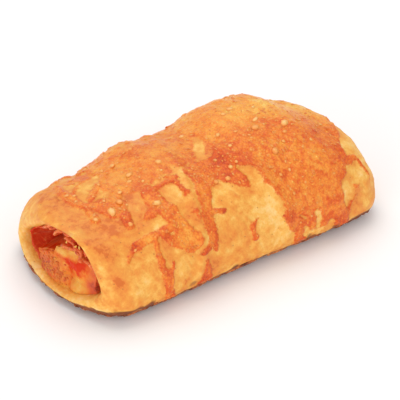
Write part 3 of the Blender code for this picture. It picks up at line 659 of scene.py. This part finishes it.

# Charred crumbs: blotches from nearly black to dark orange-brown.
foot_material, tree, shader = new_material("charred_crumbs")
place = add_node(tree, "TexCoord").outputs["Object"]
fine, blotch = (
    add_node(tree, "TexNoise", [("Vector", place)], Scale=1 / (size * MM), Detail=2.0, Roughness=rough)
    for size, rough in ((0.9, 0.6), (7.0, 0.5)))
colour = add_node(tree, "ValToRGB", [(0, mix_in(tree, blotch, (fine, 0.9)))], stops=(
    (0.25, "#5E2A12"), (0.42, "#8C4218"), (0.56, "#B8602A"), (0.75, "#DA8C44"),
))
bump = add_node(tree, "Bump", [("Height", fine)], Strength=0.5, Distance=0.3 * MM)
add_node(tree, shader, [("Base Color", colour), ("Normal", bump)], Roughness=0.55)

foot_piece = make_piece("charred_foot", points, faces, foot_material)
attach(foot_piece, "root")

# ------------------------------------------------------------------------------------------------
# The ham: one moist cooked slice, laid on the dough before it was rolled. It lines the opening,
# bends back at the front corner and lies on the cheese; its cut edges dried and frilled in the oven.
HAM, HAM_GAP, SLOT = 1.5, 0.3, 0.5            # thickness, gap to the dough, gap between the layers
HAM_OUT, HAM_EDGE, HAM_DRY = 0.8, 0.8, 3.0    # reach past the lip, rounded border, dried border
LINING_DEPTH = HAM_GAP + HAM / 2
FOLD_DEPTH = LINING_DEPTH + HAM + SLOT
LINING, FOLD = (226.0, 4.0), (8.0, 100.0)     # turns that the two layers cover, along the slice
BEND_TURN = 17.0                              # how far the bend between them goes into the corner
LINING_STEPS, BEND_STEPS, FOLD_STEPS = 130, 18, 110
SIDE_STEP = 0.55                              # mm of slice from one of these steps to the next
# The frills: reach into the opening, height at the near and the far mouth, turns for one wave.
FRILL_REACH, FRILL, FAR_FRILL, FRILL_TURN = 13.0, 0.5, 0.6, 22.0
# The folded layer sags below its lining at the near mouth, and has drawn back at its edge.
DROP, DROP_TURN, DROP_SPREAD, DRAWN_BACK = 4.2, 88.0, 27.0, 11.0
# Share of the thickness that is lost where the slice is stretched, and of the depth in the front
# corner, which starts and ends at these turns.
THIN, SQUEEZE, FRONT_CORNER = 0.55, 0.6, (44, 14)

bend = np.linspace(0, math.pi, BEND_STEPS)[1:-1]
bend_turns = LINING[1] + (FOLD[0] - LINING[1]) * bend / math.pi - BEND_TURN * np.sin(bend)
bend_depths = LINING_DEPTH + (FOLD_DEPTH - LINING_DEPTH) * (1 - np.cos(bend)) / 2
profile_turn = np.concatenate([
    np.linspace(*LINING, LINING_STEPS), bend_turns, np.linspace(*FOLD, FOLD_STEPS)])
profile_depth = np.concatenate([
    np.full(LINING_STEPS, LINING_DEPTH), bend_depths, np.full(FOLD_STEPS, FOLD_DEPTH)])
folded = np.concatenate([np.zeros(LINING_STEPS), smooth(0, math.pi, bend), np.ones(FOLD_STEPS)])
half_rows = np.concatenate([np.linspace(0, MOUTH - 14, 9), np.linspace(MOUTH - 13, MOUTH + HAM_OUT, 44)])
ham_rows = np.concatenate([-half_rows[:0:-1], half_rows])
ham_along, ham_turn = np.meshgrid(ham_rows, profile_turn, indexing="ij")
ham_depth = np.broadcast_to(profile_depth, ham_along.shape)
fray = smooth(MOUTH - FRILL_REACH, MOUTH, np.abs(ham_along))
ragged = 0.9 * grain(ham_turn, ham_along, 9, 31) + 0.4 * grain(ham_turn, ham_along, 3.5, 32)
near = fray * (ham_along < 0)
ham_turn = ham_turn - DRAWN_BACK * near * folded * smooth(60, 100, ham_turn)
ham_along = ham_along + np.sign(ham_along) * fray**3 * ragged * 0.9
# The folded layer ripples ever more towards the mouths.
wander = 2.0 * grain(ham_turn, ham_along, 16, 33)
ripple = np.sin(2 * math.pi * ham_turn / FRILL_TURN + wander + 0.1 * ham_along)
ham_depth = ham_depth + folded * fray * np.where(ham_along < 0, FRILL, FAR_FRILL) * (0.5 + ripple)
drop = DROP * np.exp(-(((ham_turn - DROP_TURN) / DROP_SPREAD) ** 2))
ham_depth = ham_depth + folded * near * (torn(-MOUTH, ham_turn) + drop)
ham_depth = ham_depth * (1 - SQUEEZE * near * smooth(*FRONT_CORNER, ham_turn))
ham_depth = ham_depth + (1 - folded) * 0.22 * fray * grain(ham_turn, ham_along, 10, 34)


def thick_sheet(middle, half):
    """Closed sheet round a middle grid: the grid moved both ways along its unit normal by a half
    thickness, and a strip round the border. Returns points and faces."""
    normal = np.cross(np.gradient(middle, axis=0), np.gradient(middle, axis=1))
    normal /= np.maximum(np.linalg.norm(normal, axis=-1, keepdims=True), 1e-9)
    rows, columns = middle.shape[:2]
    points = np.stack([middle + normal * half[..., None], middle - normal * half[..., None]])
    front = grid_faces(rows, columns)
    number = np.arange(rows * columns).reshape(rows, columns)
    border = np.concatenate([number[:-1, 0], number[-1, :-1], number[:0:-1, -1], number[0, :0:-1]])
    after = np.roll(border, -1)
    strip = np.stack([after, border, border + rows * columns, after + rows * columns], -1)
    return points, np.concatenate([front, front[:, ::-1] + rows * columns, strip])


def rounded_border(shape, row_gap, column_gap, radius):
    """Share of the thickness left near the border: a quarter circle of that radius."""
    share = 1 - np.clip(np.minimum(row_gap, column_gap) / radius, 0, 1)
    return np.broadcast_to(np.sqrt(np.maximum(1 - share * share, 0.03)), shape)


end_gap = MOUTH + HAM_OUT - np.abs(ham_rows)[:, None]
steps = np.arange(profile_turn.size)
side_gap = np.minimum(steps, steps[::-1])[None] * SIDE_STEP
swollen = 1 + 0.35 * fray * (1 - folded) + folded * fray * 0.5 * np.exp(-((ham_turn / 34) ** 2))
swollen = swollen * (1 + 0.18 * grain(ham_turn, ham_along, 5, 35))
# At the back and in the front corner of the near mouth the slice is stretched thin over the dough.
thinned = near * np.maximum(smooth(112, 140, ham_turn), smooth(34, 14, ham_turn))
ham_along = ham_along + 0.2 * thinned
swollen = swollen * (1 - THIN * thinned)
ham_depth = ham_depth - (1 - folded) * thinned * (0.2 + HAM / 2 * THIN)
ham_middle = opening_section(ham_along, ham_turn, ham_depth)
ham_half = HAM / 2 * swollen * rounded_border(ham_turn.shape, end_gap, side_gap, HAM_EDGE)
ham_points, ham_faces = thick_sheet(ham_middle, ham_half)
ham_dry = np.stack([smooth(HAM_DRY, 0.2, end_gap) * (1 - thinned)] * 2)

# Strips torn off the slice, crumpled between the lining and the folded layer at the near mouth:
# first and last turn, depth, sway, turns for one wave, seed.
SCRAPS = (
    (110, 44, 2.0, 0.25, 26.0, 41), (107, 50, 3.9, 0.6, 24.0, 43), (84, 44, 7.0, 0.8, 19.0, 44),
)
# Reach into the opening and out of it, half thickness, rounded border, dried border.
SCRAP_IN, SCRAP_OUT, SCRAP_HALF, SCRAP_EDGE, SCRAP_DRY = 7.0, 1.4, 0.72, 0.7, 2.5
SCRAP_ROWS, SCRAP_COLUMNS, SCRAP_STEP = 22, 70, 0.3
scrap_rows = np.linspace(MOUTH - SCRAP_IN, MOUTH + SCRAP_OUT, SCRAP_ROWS)
row_gap, steps = (scrap_rows[-1] - scrap_rows)[:, None], np.arange(SCRAP_COLUMNS)
column_gap = np.minimum(steps, steps[::-1])[None] * SCRAP_STEP
slice_points, slice_faces, slice_dry = [ham_points.reshape(-1, 3)], [ham_faces], [ham_dry.ravel()]
for first, last, depth, sway, wave, seed in SCRAPS:
    scrap_along, scrap_turn = np.meshgrid(
        -scrap_rows, np.linspace(first, last, SCRAP_COLUMNS), indexing="ij")
    phase = 2 * math.pi * scrap_turn / wave + 0.3 * scrap_along
    phase = phase + 1.5 * grain(scrap_turn, scrap_along, 12, seed + 20)
    scrap_depth = depth + sway * np.sin(phase) + 0.3 * grain(scrap_turn, scrap_along, 4, seed)
    ragged = 0.9 * grain(scrap_turn, scrap_along, 6, seed + 10)
    scrap_along = scrap_along - ragged * smooth(MOUTH - SCRAP_IN, MOUTH, -scrap_along)
    scrap_middle = opening_section(scrap_along, scrap_turn, scrap_depth)
    scrap_half = SCRAP_HALF * rounded_border(scrap_turn.shape, row_gap, column_gap, SCRAP_EDGE)
    points, faces = thick_sheet(scrap_middle, scrap_half)
    slice_faces.append(faces + sum(len(p) for p in slice_points))
    slice_points.append(points.reshape(-1, 3))
    scrap_dry = np.broadcast_to(smooth(SCRAP_DRY, 0.2, row_gap), scrap_turn.shape)
    slice_dry.append(np.stack([scrap_dry] * 2).ravel())
scrap_front = scrap_middle[-2]

# Cooked ham: wet and see-through pink-red with paler marbling, duller and browner at the dry edges.
# Its fibres are 1.4 mm apart and its marbling 5 mm.
ham_material, tree, shader = new_material("cooked_ham")
place = add_node(tree, "TexCoord").outputs["Object"]
fibre, marble = (
    add_node(
        tree, "TexNoise", [("Vector", place)], Scale=1 / (size * MM), Detail=detail, Roughness=rough,
        Distortion=twist)
    for size, detail, rough, twist in ((1.4, 4.0, 0.6, 0.8), (5.0, 2.0, 0.5, 1.5)))
dry = add_node(tree, "Attribute", attribute_name="dry").outputs["Fac"]
wet_colour = add_node(tree, "ValToRGB", [(0, mix_in(tree, marble, (fibre, 0.5)))], stops=(
    (0.2, "#D4361A"), (0.45, "#E04824"), (0.6, "#E85E30"), (0.8, "#F29058"),
))
dry_colour = add_node(tree, "ValToRGB", [(0, mix_in(tree, fibre, (marble, 0.6)))], stops=(
    (0.25, "#AC3C14"), (0.42, "#D85E2A"), (0.6, "#EC7E3C"), (0.8, "#F8B070"),
))
dried = add_node(tree, "MapRange", [(0, mix_in(tree, dry, (fibre, 0.5)))], From_Min=0.2, From_Max=0.8)
colour = add_node(
    tree, "Mix", [(0, dried), (6, wet_colour), (7, dry_colour)], data_type="RGBA").outputs[2]
gloss = add_node(tree, "MapRange", [(0, dried)], To_Min=0.26, To_Max=0.42)
relief = mix_in(tree, fibre, (marble, 1.0))
bump = add_node(tree, "Bump", [("Height", relief)], Strength=0.5, Distance=0.6 * MM)
add_node(
    tree, shader, [("Base Color", colour), ("Roughness", gloss), ("Normal", bump)], IOR=1.42,
    Subsurface_Weight=0.3, Subsurface_Scale=1.0, Subsurface_Radius=(1.8 * MM, 0.5 * MM, 0.35 * MM))

slice_piece = make_piece(
    "ham_slice", np.concatenate(slice_points), np.concatenate(slice_faces), ham_material,
    dry=np.concatenate(slice_dry))
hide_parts("ham")
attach(slice_piece, "root")

# ------------------------------------------------------------------------------------------------
# The cheese core: grated cheese that melted into one mass in the ham, ran down off the back corner
# and bulged out of both mouths, where it fried orange, with a browned clump of gratings in front.
NEAR_NOSE, FAR_NOSE = {"y": 4.0, "z": 10.5, "out": 1.4}, {"y": 0.0, "z": 14.5, "out": 2.5}
# The hollow at the upper back of the near mouth: how far it is cut in, and how deep along the roll.
POCKET = {"turn": 140, "spread": 47, "cut": 7.6, "depth": 30.0}
# Two dips beside it: depth, turn, spread.
DIPS = ((2.2, 190, 26), (2.2, 118, 9))
# The browned clump of gratings on the near face: place and half size across the mouth.
CLUMP_Y, CLUMP_Z, CLUMP_WIDE, CLUMP_HIGH = 5.5, 10.0, 10.0, 6.5
CORE_GAP = 0.1                # gap to the dough where there is no ham
CORE_TURNS, NOSE_ROWS = 260, 60

core_turns = np.linspace(0, 360, CORE_TURNS, endpoint=False)
core_half = np.concatenate([np.linspace(0, MOUTH - 14, 10), np.linspace(MOUTH - 13, MOUTH, 20)])
core_rows = np.concatenate([-core_half[:0:-1], core_half])
core_along, core_turn = np.meshgrid(core_rows, core_turns, indexing="ij")
under_fold = smooth(116, 100, core_turn) + smooth(322, 340, core_turn)
under_lining = (1 - under_fold) * smooth(238, 226, core_turn)
near_end = smooth(MOUTH - 12, MOUTH, -core_along)
fold_turn = np.where(core_turn > 180, core_turn - 360, core_turn)
core_drop = DROP * np.exp(-(((fold_turn - DROP_TURN) / DROP_SPREAD) ** 2))
core_drop = near_end * (torn(-MOUTH, fold_turn) + core_drop)
squeezed = 1 - SQUEEZE * near_end * smooth(*FRONT_CORNER, np.abs(fold_turn))
fold_depth = (FOLD_DEPTH + core_drop) * squeezed + HAM / 2 + HAM_GAP
core_depth = CORE_GAP + under_lining * (HAM + SLOT) + under_fold * fold_depth
core_depth = core_depth - 0.7 * near_end * (1 - under_fold - under_lining)
core_depth = core_depth + 1.6 * near_end * np.exp(-((fold_turn / 20) ** 2))
hollow = np.exp(-(((core_turn - POCKET["turn"]) / POCKET["spread"]) ** 4)) * smooth(86, 118, core_turn)
core_depth = core_depth + POCKET["cut"] * hollow * smooth(POCKET["depth"] - MOUTH, -MOUTH, core_along)
for dip, middle, spread in DIPS:
    core_depth = core_depth + dip * near_end * np.exp(-(((core_turn - middle) / spread) ** 2))
tube = opening_section(core_along, core_turn, core_depth)


def nose(ring, end, side):
    """Rounded end of the core: the ring drawn in to its middle with the cosine, and out with the sine."""
    centre = np.array([ring[:, 0].mean(), end["y"] + CREST_Y, end["z"]])
    turn = np.linspace(0, math.pi / 2, NOSE_ROWS + 1)[1:, None, None]
    push = np.array([side * end["out"], 0.0, 0.0])
    return centre + (ring - centre) * np.maximum(np.cos(turn), 1e-3) + push * np.sin(turn)


core = np.concatenate([nose(tube[0], NEAR_NOSE, -1)[::-1], tube, nose(tube[-1], FAR_NOSE, 1)])
# Bulges and creases of the near face, by place across the mouth (y, z) in mm: spreads and height.
NEAR_FACE = (
    (6.0, 10.0, 9.0, 6.0, 2.6), (0.0, 9.0, 5.0, 5.0, 1.0), (-9.5, 17.5, 6.0, 3.5, 1.6),
    (-13.5, 13.5, 4.0, 3.5, 0.8), (-10.5, 7.8, 5.0, 3.4, 1.4), (-1.0, 19.6, 5.0, 2.0, 0.5),
    (-4.6, 12.5, 1.3, 5.0, -1.2), (-5.8, 6.8, 1.1, 2.6, -1.5), (-7.5, 10.6, 6.0, 0.9, -0.7),
    (15.0, 4.5, 4.0, 3.0, 1.4), (-3.0, 18.0, 5.0, 1.0, -0.5),
)
# Tones: 0 is pale yellow melted cheese, 0.4 orange, 0.75 baked pink-orange, 1 browned.
NEAR_TONES = (
    (6.5, 10.0, 9.0, 6.0, 0.58), (13.0, 8.0, 4.0, 5.0, 0.14), (10.0, 6.5, 5.0, 3.5, 0.18),
    (-10.5, 7.6, 4.5, 2.6, -0.08), (1.0, 20.6, 7.0, 1.6, -0.02), (-19.0, 14.0, 4.0, 7.0, 0.52),
    (-23.5, 12.0, 2.5, 4.0, 0.10), (-17.5, 7.0, 3.0, 3.0, 0.20), (-12.0, 21.5, 6.0, 2.0, 0.14),
)
# Heat: how far the fat in the cheese has run out and fried it a clear red-orange.
NEAR_HEAT = (
    (4.0, 17.6, 8.0, 1.5, 0.85), (-6.5, 18.6, 5.0, 2.0, 0.95), (-13.0, 20.0, 4.4, 3.2, 1.10),
    (-5.0, 14.0, 2.8, 3.6, 0.80), (-11.0, 15.0, 6.0, 2.6, 0.75), (-5.6, 7.5, 1.5, 3.2, 0.60),
    (11.0, 15.4, 3.0, 1.8, 0.80), (16.5, 12.5, 3.5, 2.6, 0.75), (5.0, 4.6, 4.0, 1.2, 0.50),
    (-19.5, 14.5, 3.0, 5.0, -0.70), (20.0, 9.0, 2.2, 4.5, 0.55),
)
face_y, face_z = core[..., 1] - CREST_Y, core[..., 2]
near_face = smooth(7 - MOUTH, 3 - MOUTH, core[..., 0])
far_face = smooth(MOUTH - 3, MOUTH, core[..., 0])
core_tone = 0.30 + 0.12 * grain(face_y, face_z, 4, 51) + 0.10 * grain(face_y, face_z, 1.6, 52)
core_tone += near_face * spots(face_y, face_z, 0.0, NEAR_TONES)
core_tone += far_face * (0.22 + 0.25 * grain(face_y, face_z, 6, 53))
core_heat = near_face * spots(face_y, face_z, 0.0, NEAR_HEAT)
# The floor of the pocket is stained by the ham.
stain = np.ones(core_tone.shape)
stained = np.exp(-(((core_turn - POCKET["turn"] - 14) / (1.4 * POCKET["spread"])) ** 6))
stained = stained * smooth(-MOUTH, -MOUTH + 1.5, core_along)
stain[NOSE_ROWS:-NOSE_ROWS] = 1 - stained * (core_along < 0)
core_tone = core_tone * stain + 0.84 * (1 - stain)
core_heat = core_heat + 0.35 * (1 - stain)
core_rise = 0.25 * grain(core[..., 0] + face_y, face_z, 3.2, 54)
core_rise += 0.12 * grain(core[..., 0] + face_y, face_z, 1.2, 55)
nose_share = np.zeros(len(core))
nose_share[:NOSE_ROWS] = np.cos(np.linspace(0, math.pi / 2, NOSE_ROWS))
nose_share[-NOSE_ROWS:] = nose_share[:NOSE_ROWS][::-1]
nose_share = np.broadcast_to(smooth(0, 0.45, nose_share)[:, None], face_y.shape)
core_rise += near_face * nose_share * spots(face_y, face_z, 0.0, NEAR_FACE)
clump = ((face_y - CLUMP_Y) / CLUMP_WIDE) ** 2 + ((face_z - CLUMP_Z) / CLUMP_HIGH) ** 2
clump = np.exp(-(clump**2)) * near_face
core_rise += clump * (0.45 * grain(face_y, face_z, 1.9, 56) + 0.18 * grain(face_y, face_z, 0.8, 57))
core_out = np.cross(np.roll(core, -1, 1) - np.roll(core, 1, 1), np.gradient(core, axis=0))
core_out /= np.maximum(np.linalg.norm(core_out, axis=-1, keepdims=True), 1e-9)
ahead = np.sign(core[..., :1]) * np.array([1.0, 0.0, 0.0])
core_out = core_out * (1 - nose_share[..., None]) + ahead * nose_share[..., None]
core = core + core_out * core_rise[..., None]
core_faces = grid_faces(*core.shape[:2], False, True)[:, ::-1]
last_row = core.shape[0] * CORE_TURNS - CORE_TURNS
ring_number = np.arange(CORE_TURNS)
core_lids = [ring_number.tolist(), (last_row + ring_number[::-1]).tolist()]

# Melted cheddar: yellow and see-through where it is thick, fried dark orange where it met the heat.
# Its grain is 0.9 mm and its mottles are 3 mm across.
cheese_material, tree, shader = new_material("melted_cheddar")
place = add_node(tree, "TexCoord").outputs["Object"]
fine, mottle = (
    add_node(tree, "TexNoise", [("Vector", place)], Scale=1 / (size * MM), Detail=detail, Roughness=rough)
    for size, detail, rough in ((0.9, 3.0, 0.6), (3.0, 2.0, 0.5)))
tone, sear = (
    add_node(tree, "Attribute", attribute_name=name).outputs["Fac"] for name in ("tone", "sear"))
tone_mix = mix_in(tree, tone, (fine, 0.3), (mottle, 0.3))
colour = add_node(tree, "ValToRGB", [(0, tone_mix)], stops=(
    (0.05, "#F0C06A"), (0.25, "#E8A84A"), (0.42, "#E6923C"), (0.6, "#E27836"), (0.75, "#DC6636"),
    (0.88, "#CC5838"), (1.0, "#A84630"),
))
hot = mix_in(tree, sear, (fine, 0.5), (mottle, 0.8))
hot = add_node(tree, "MapRange", [(0, hot)], From_Min=0.15, From_Max=1.05)
hot_colour = add_node(
    tree, "ValToRGB", [(0, hot)], stops=((0.1, "#F08018"), (0.5, "#E65200"), (1.0, "#D83400")),
)
colour = add_node(tree, "Mix", [(0, hot), (6, colour), (7, hot_colour)], data_type="RGBA").outputs[2]
gloss = add_node(tree, "MapRange", [(0, fine)], To_Min=0.3, To_Max=0.45)
relief = mix_in(tree, fine, (mottle, 0.8))
bump = add_node(tree, "Bump", [("Height", relief)], Strength=0.35, Distance=0.5 * MM)
add_node(
    tree, shader, [("Base Color", colour), ("Roughness", gloss), ("Normal", bump)],
    Specular_IOR_Level=0.16, Subsurface_Weight=0.3, Subsurface_Scale=1.0,
    Subsurface_Radius=(1.8 * MM, 0.9 * MM, 0.3 * MM))

core_piece = make_piece(
    "cheese_core", core, core_faces, cheese_material, core_lids, tone=core_tone, sear=core_heat)
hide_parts("cheese_filling")
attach(core_piece, "root")

# Gratings that kept their shape: small baked lumps pressed into the clump at the near mouth, and
# pale bits caught between the frills of the ham.
CRUMBS, FRILL_BITS = 250, 5
chance = np.random.default_rng(61)
# Chances for each point of the core to carry a grating: dense on the clump, thin elsewhere.
dense = ((face_y - CLUMP_Y) / 9.5) ** 2 + ((face_z - CLUMP_Z) / 6.0) ** 2
odds = (0.002 + np.exp(-(dense**2))) * near_face * nose_share
row_spacing = np.linalg.norm(np.gradient(core, axis=0), axis=-1)
odds = (odds * (row_spacing * np.linalg.norm(np.roll(core, -1, 1) - core, axis=-1))).ravel()
chosen = chance.choice(odds.size, CRUMBS, replace=False, p=odds / odds.sum())
centres, outward = core.reshape(-1, 3)[chosen], core_out.reshape(-1, 3)[chosen]
radii, stretch = 0.25 + 0.5 * chance.random(CRUMBS) ** 2, chance.uniform(1.0, 1.7, CRUMBS)
centres = centres - 0.12 * outward
heading = chance.normal(size=(CRUMBS, 3))
points, faces, share = lumps_at(centres, outward, heading, radii, stretch, 0.62, chance)
browner = 0.10 * smooth(4, 14, centres[:, 1] - CREST_Y) * smooth(12, 6, centres[:, 2])
patch = 0.16 * grain(centres[:, 1], centres[:, 2], 3.0, 58)
crumb_tone = np.clip(0.81 + browner + patch + 0.07 * chance.normal(size=CRUMBS), 0.4, 0.95)
# Each grating is painted darker at its foot and paler on its top: painted shade where it sinks into the
# clump, and a painted highlight on top.
crumb_tone = np.repeat(crumb_tone, len(BALL_POINTS)) + 0.07 - 0.26 * share
crumb_heat = 0.25 * chance.random(CRUMBS) + 0.4 * core_heat.ravel()[chosen]
crumb_heat = np.repeat(crumb_heat, len(BALL_POINTS))
centres = scrap_front[chance.integers(6, 50, FRILL_BITS)]
centres = centres + chance.normal(size=(FRILL_BITS, 3)) * (0.3, 0.6, 0.9)
outward = np.tile([-1.0, 0.0, 0.3], (FRILL_BITS, 1)) / math.hypot(1, 0.3)
heading, radii = chance.normal(size=(FRILL_BITS, 3)), chance.uniform(0.35, 0.8, FRILL_BITS)
stretch = chance.uniform(1.0, 2.2, FRILL_BITS)
bit_points, bit_faces, share = lumps_at(centres, outward, heading, radii, stretch, 0.7, chance)
faces = np.concatenate([faces, bit_faces + len(points)])
points = np.concatenate([points, bit_points])
# The frill bits are painted paler towards their tops: a painted highlight.
crumb_tone = np.concatenate([crumb_tone, 0.42 - 0.3 * share])
crumb_heat = np.concatenate([crumb_heat, 0 * share])
crumb_piece = make_piece("baked_gratings", points, faces, cheese_material, tone=crumb_tone, sear=crumb_heat)
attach(crumb_piece, "root")

# ------------------------------------------------------------------------------------------------
# The floor, light and camera: a plain pale studio, lit from above and behind by a large soft light,
# and more weakly from the front and from the near end.
bpy.ops.mesh.primitive_plane_add(size=6.0)
floor = bpy.context.object
floor.name = "floor"
floor_material, tree, shader = new_material("pale_paper")
paper = add_node(tree, "TexNoise", Scale=3.0)
shade = add_node(tree, "ValToRGB", [(0, paper)], stops=((0.0, "#FBFAF9"), (1.0, "#FFFEFD")))
add_node(tree, shader, [("Base Color", shade)], Roughness=0.9)
floor.data.materials.append(floor_material)

world = bpy.data.worlds.new("studio")
world.use_nodes = True
add_node(world.node_tree, world.node_tree.nodes["Background"], Color=linear("#FFFFFF"), Strength=0.65)
bpy.context.scene.world = world


def soft_light(name, place, size, watts):
    """Square area light at a place, turned to the roll."""
    data = bpy.data.lights.new(name, "AREA")
    data.shape = "SQUARE"
    data.size = size
    data.energy = watts
    lamp = bpy.data.objects.new(name, data)
    bpy.context.collection.objects.link(lamp)
    lamp.location = place
    lamp.rotation_euler = lamp.location.to_track_quat("Z", "Y").to_euler()


soft_light("overhead", (0.15, 0.40, 0.95), 0.9, 4.7)
soft_light("front_fill", (0.15, -1.0, 0.55), 0.9, 2.05)
soft_light("side_fill", (-0.95, -0.45, 0.25), 0.7, 3.9)

# The camera stands 900 mm from a point inside the roll, which falls on a given pixel of the photo.
AZIMUTH, ELEVATION, DISTANCE, PX_PER_MM = math.radians(-36.8), math.radians(34.8), 900.0, 2.28
TARGET, TARGET_PX, WIDTH_PX, SENSOR = (0.0, -3.1, 20.0), (196.3, 195.7), 400, 36.0
away = np.array([
    math.sin(AZIMUTH) * math.cos(ELEVATION), -math.cos(AZIMUTH) * math.cos(ELEVATION), math.sin(ELEVATION)])
lens = bpy.data.cameras.new("camera")
lens.sensor_width = SENSOR
lens.lens = SENSOR * PX_PER_MM * DISTANCE / WIDTH_PX
lens.shift_x = (WIDTH_PX / 2 - TARGET_PX[0]) / WIDTH_PX
lens.shift_y = (TARGET_PX[1] - WIDTH_PX / 2) / WIDTH_PX
lens.clip_start = 0.01
camera = bpy.data.objects.new("camera", lens)
bpy.context.collection.objects.link(camera)
camera.location = (np.array(TARGET) + away * DISTANCE) * MM
camera.rotation_euler = (math.pi / 2 - ELEVATION, 0.0, AZIMUTH)
bpy.context.scene.camera = camera
bpy.context.scene.view_settings.view_transform = "Standard"
bpy.context.scene.view_settings.look = "None"
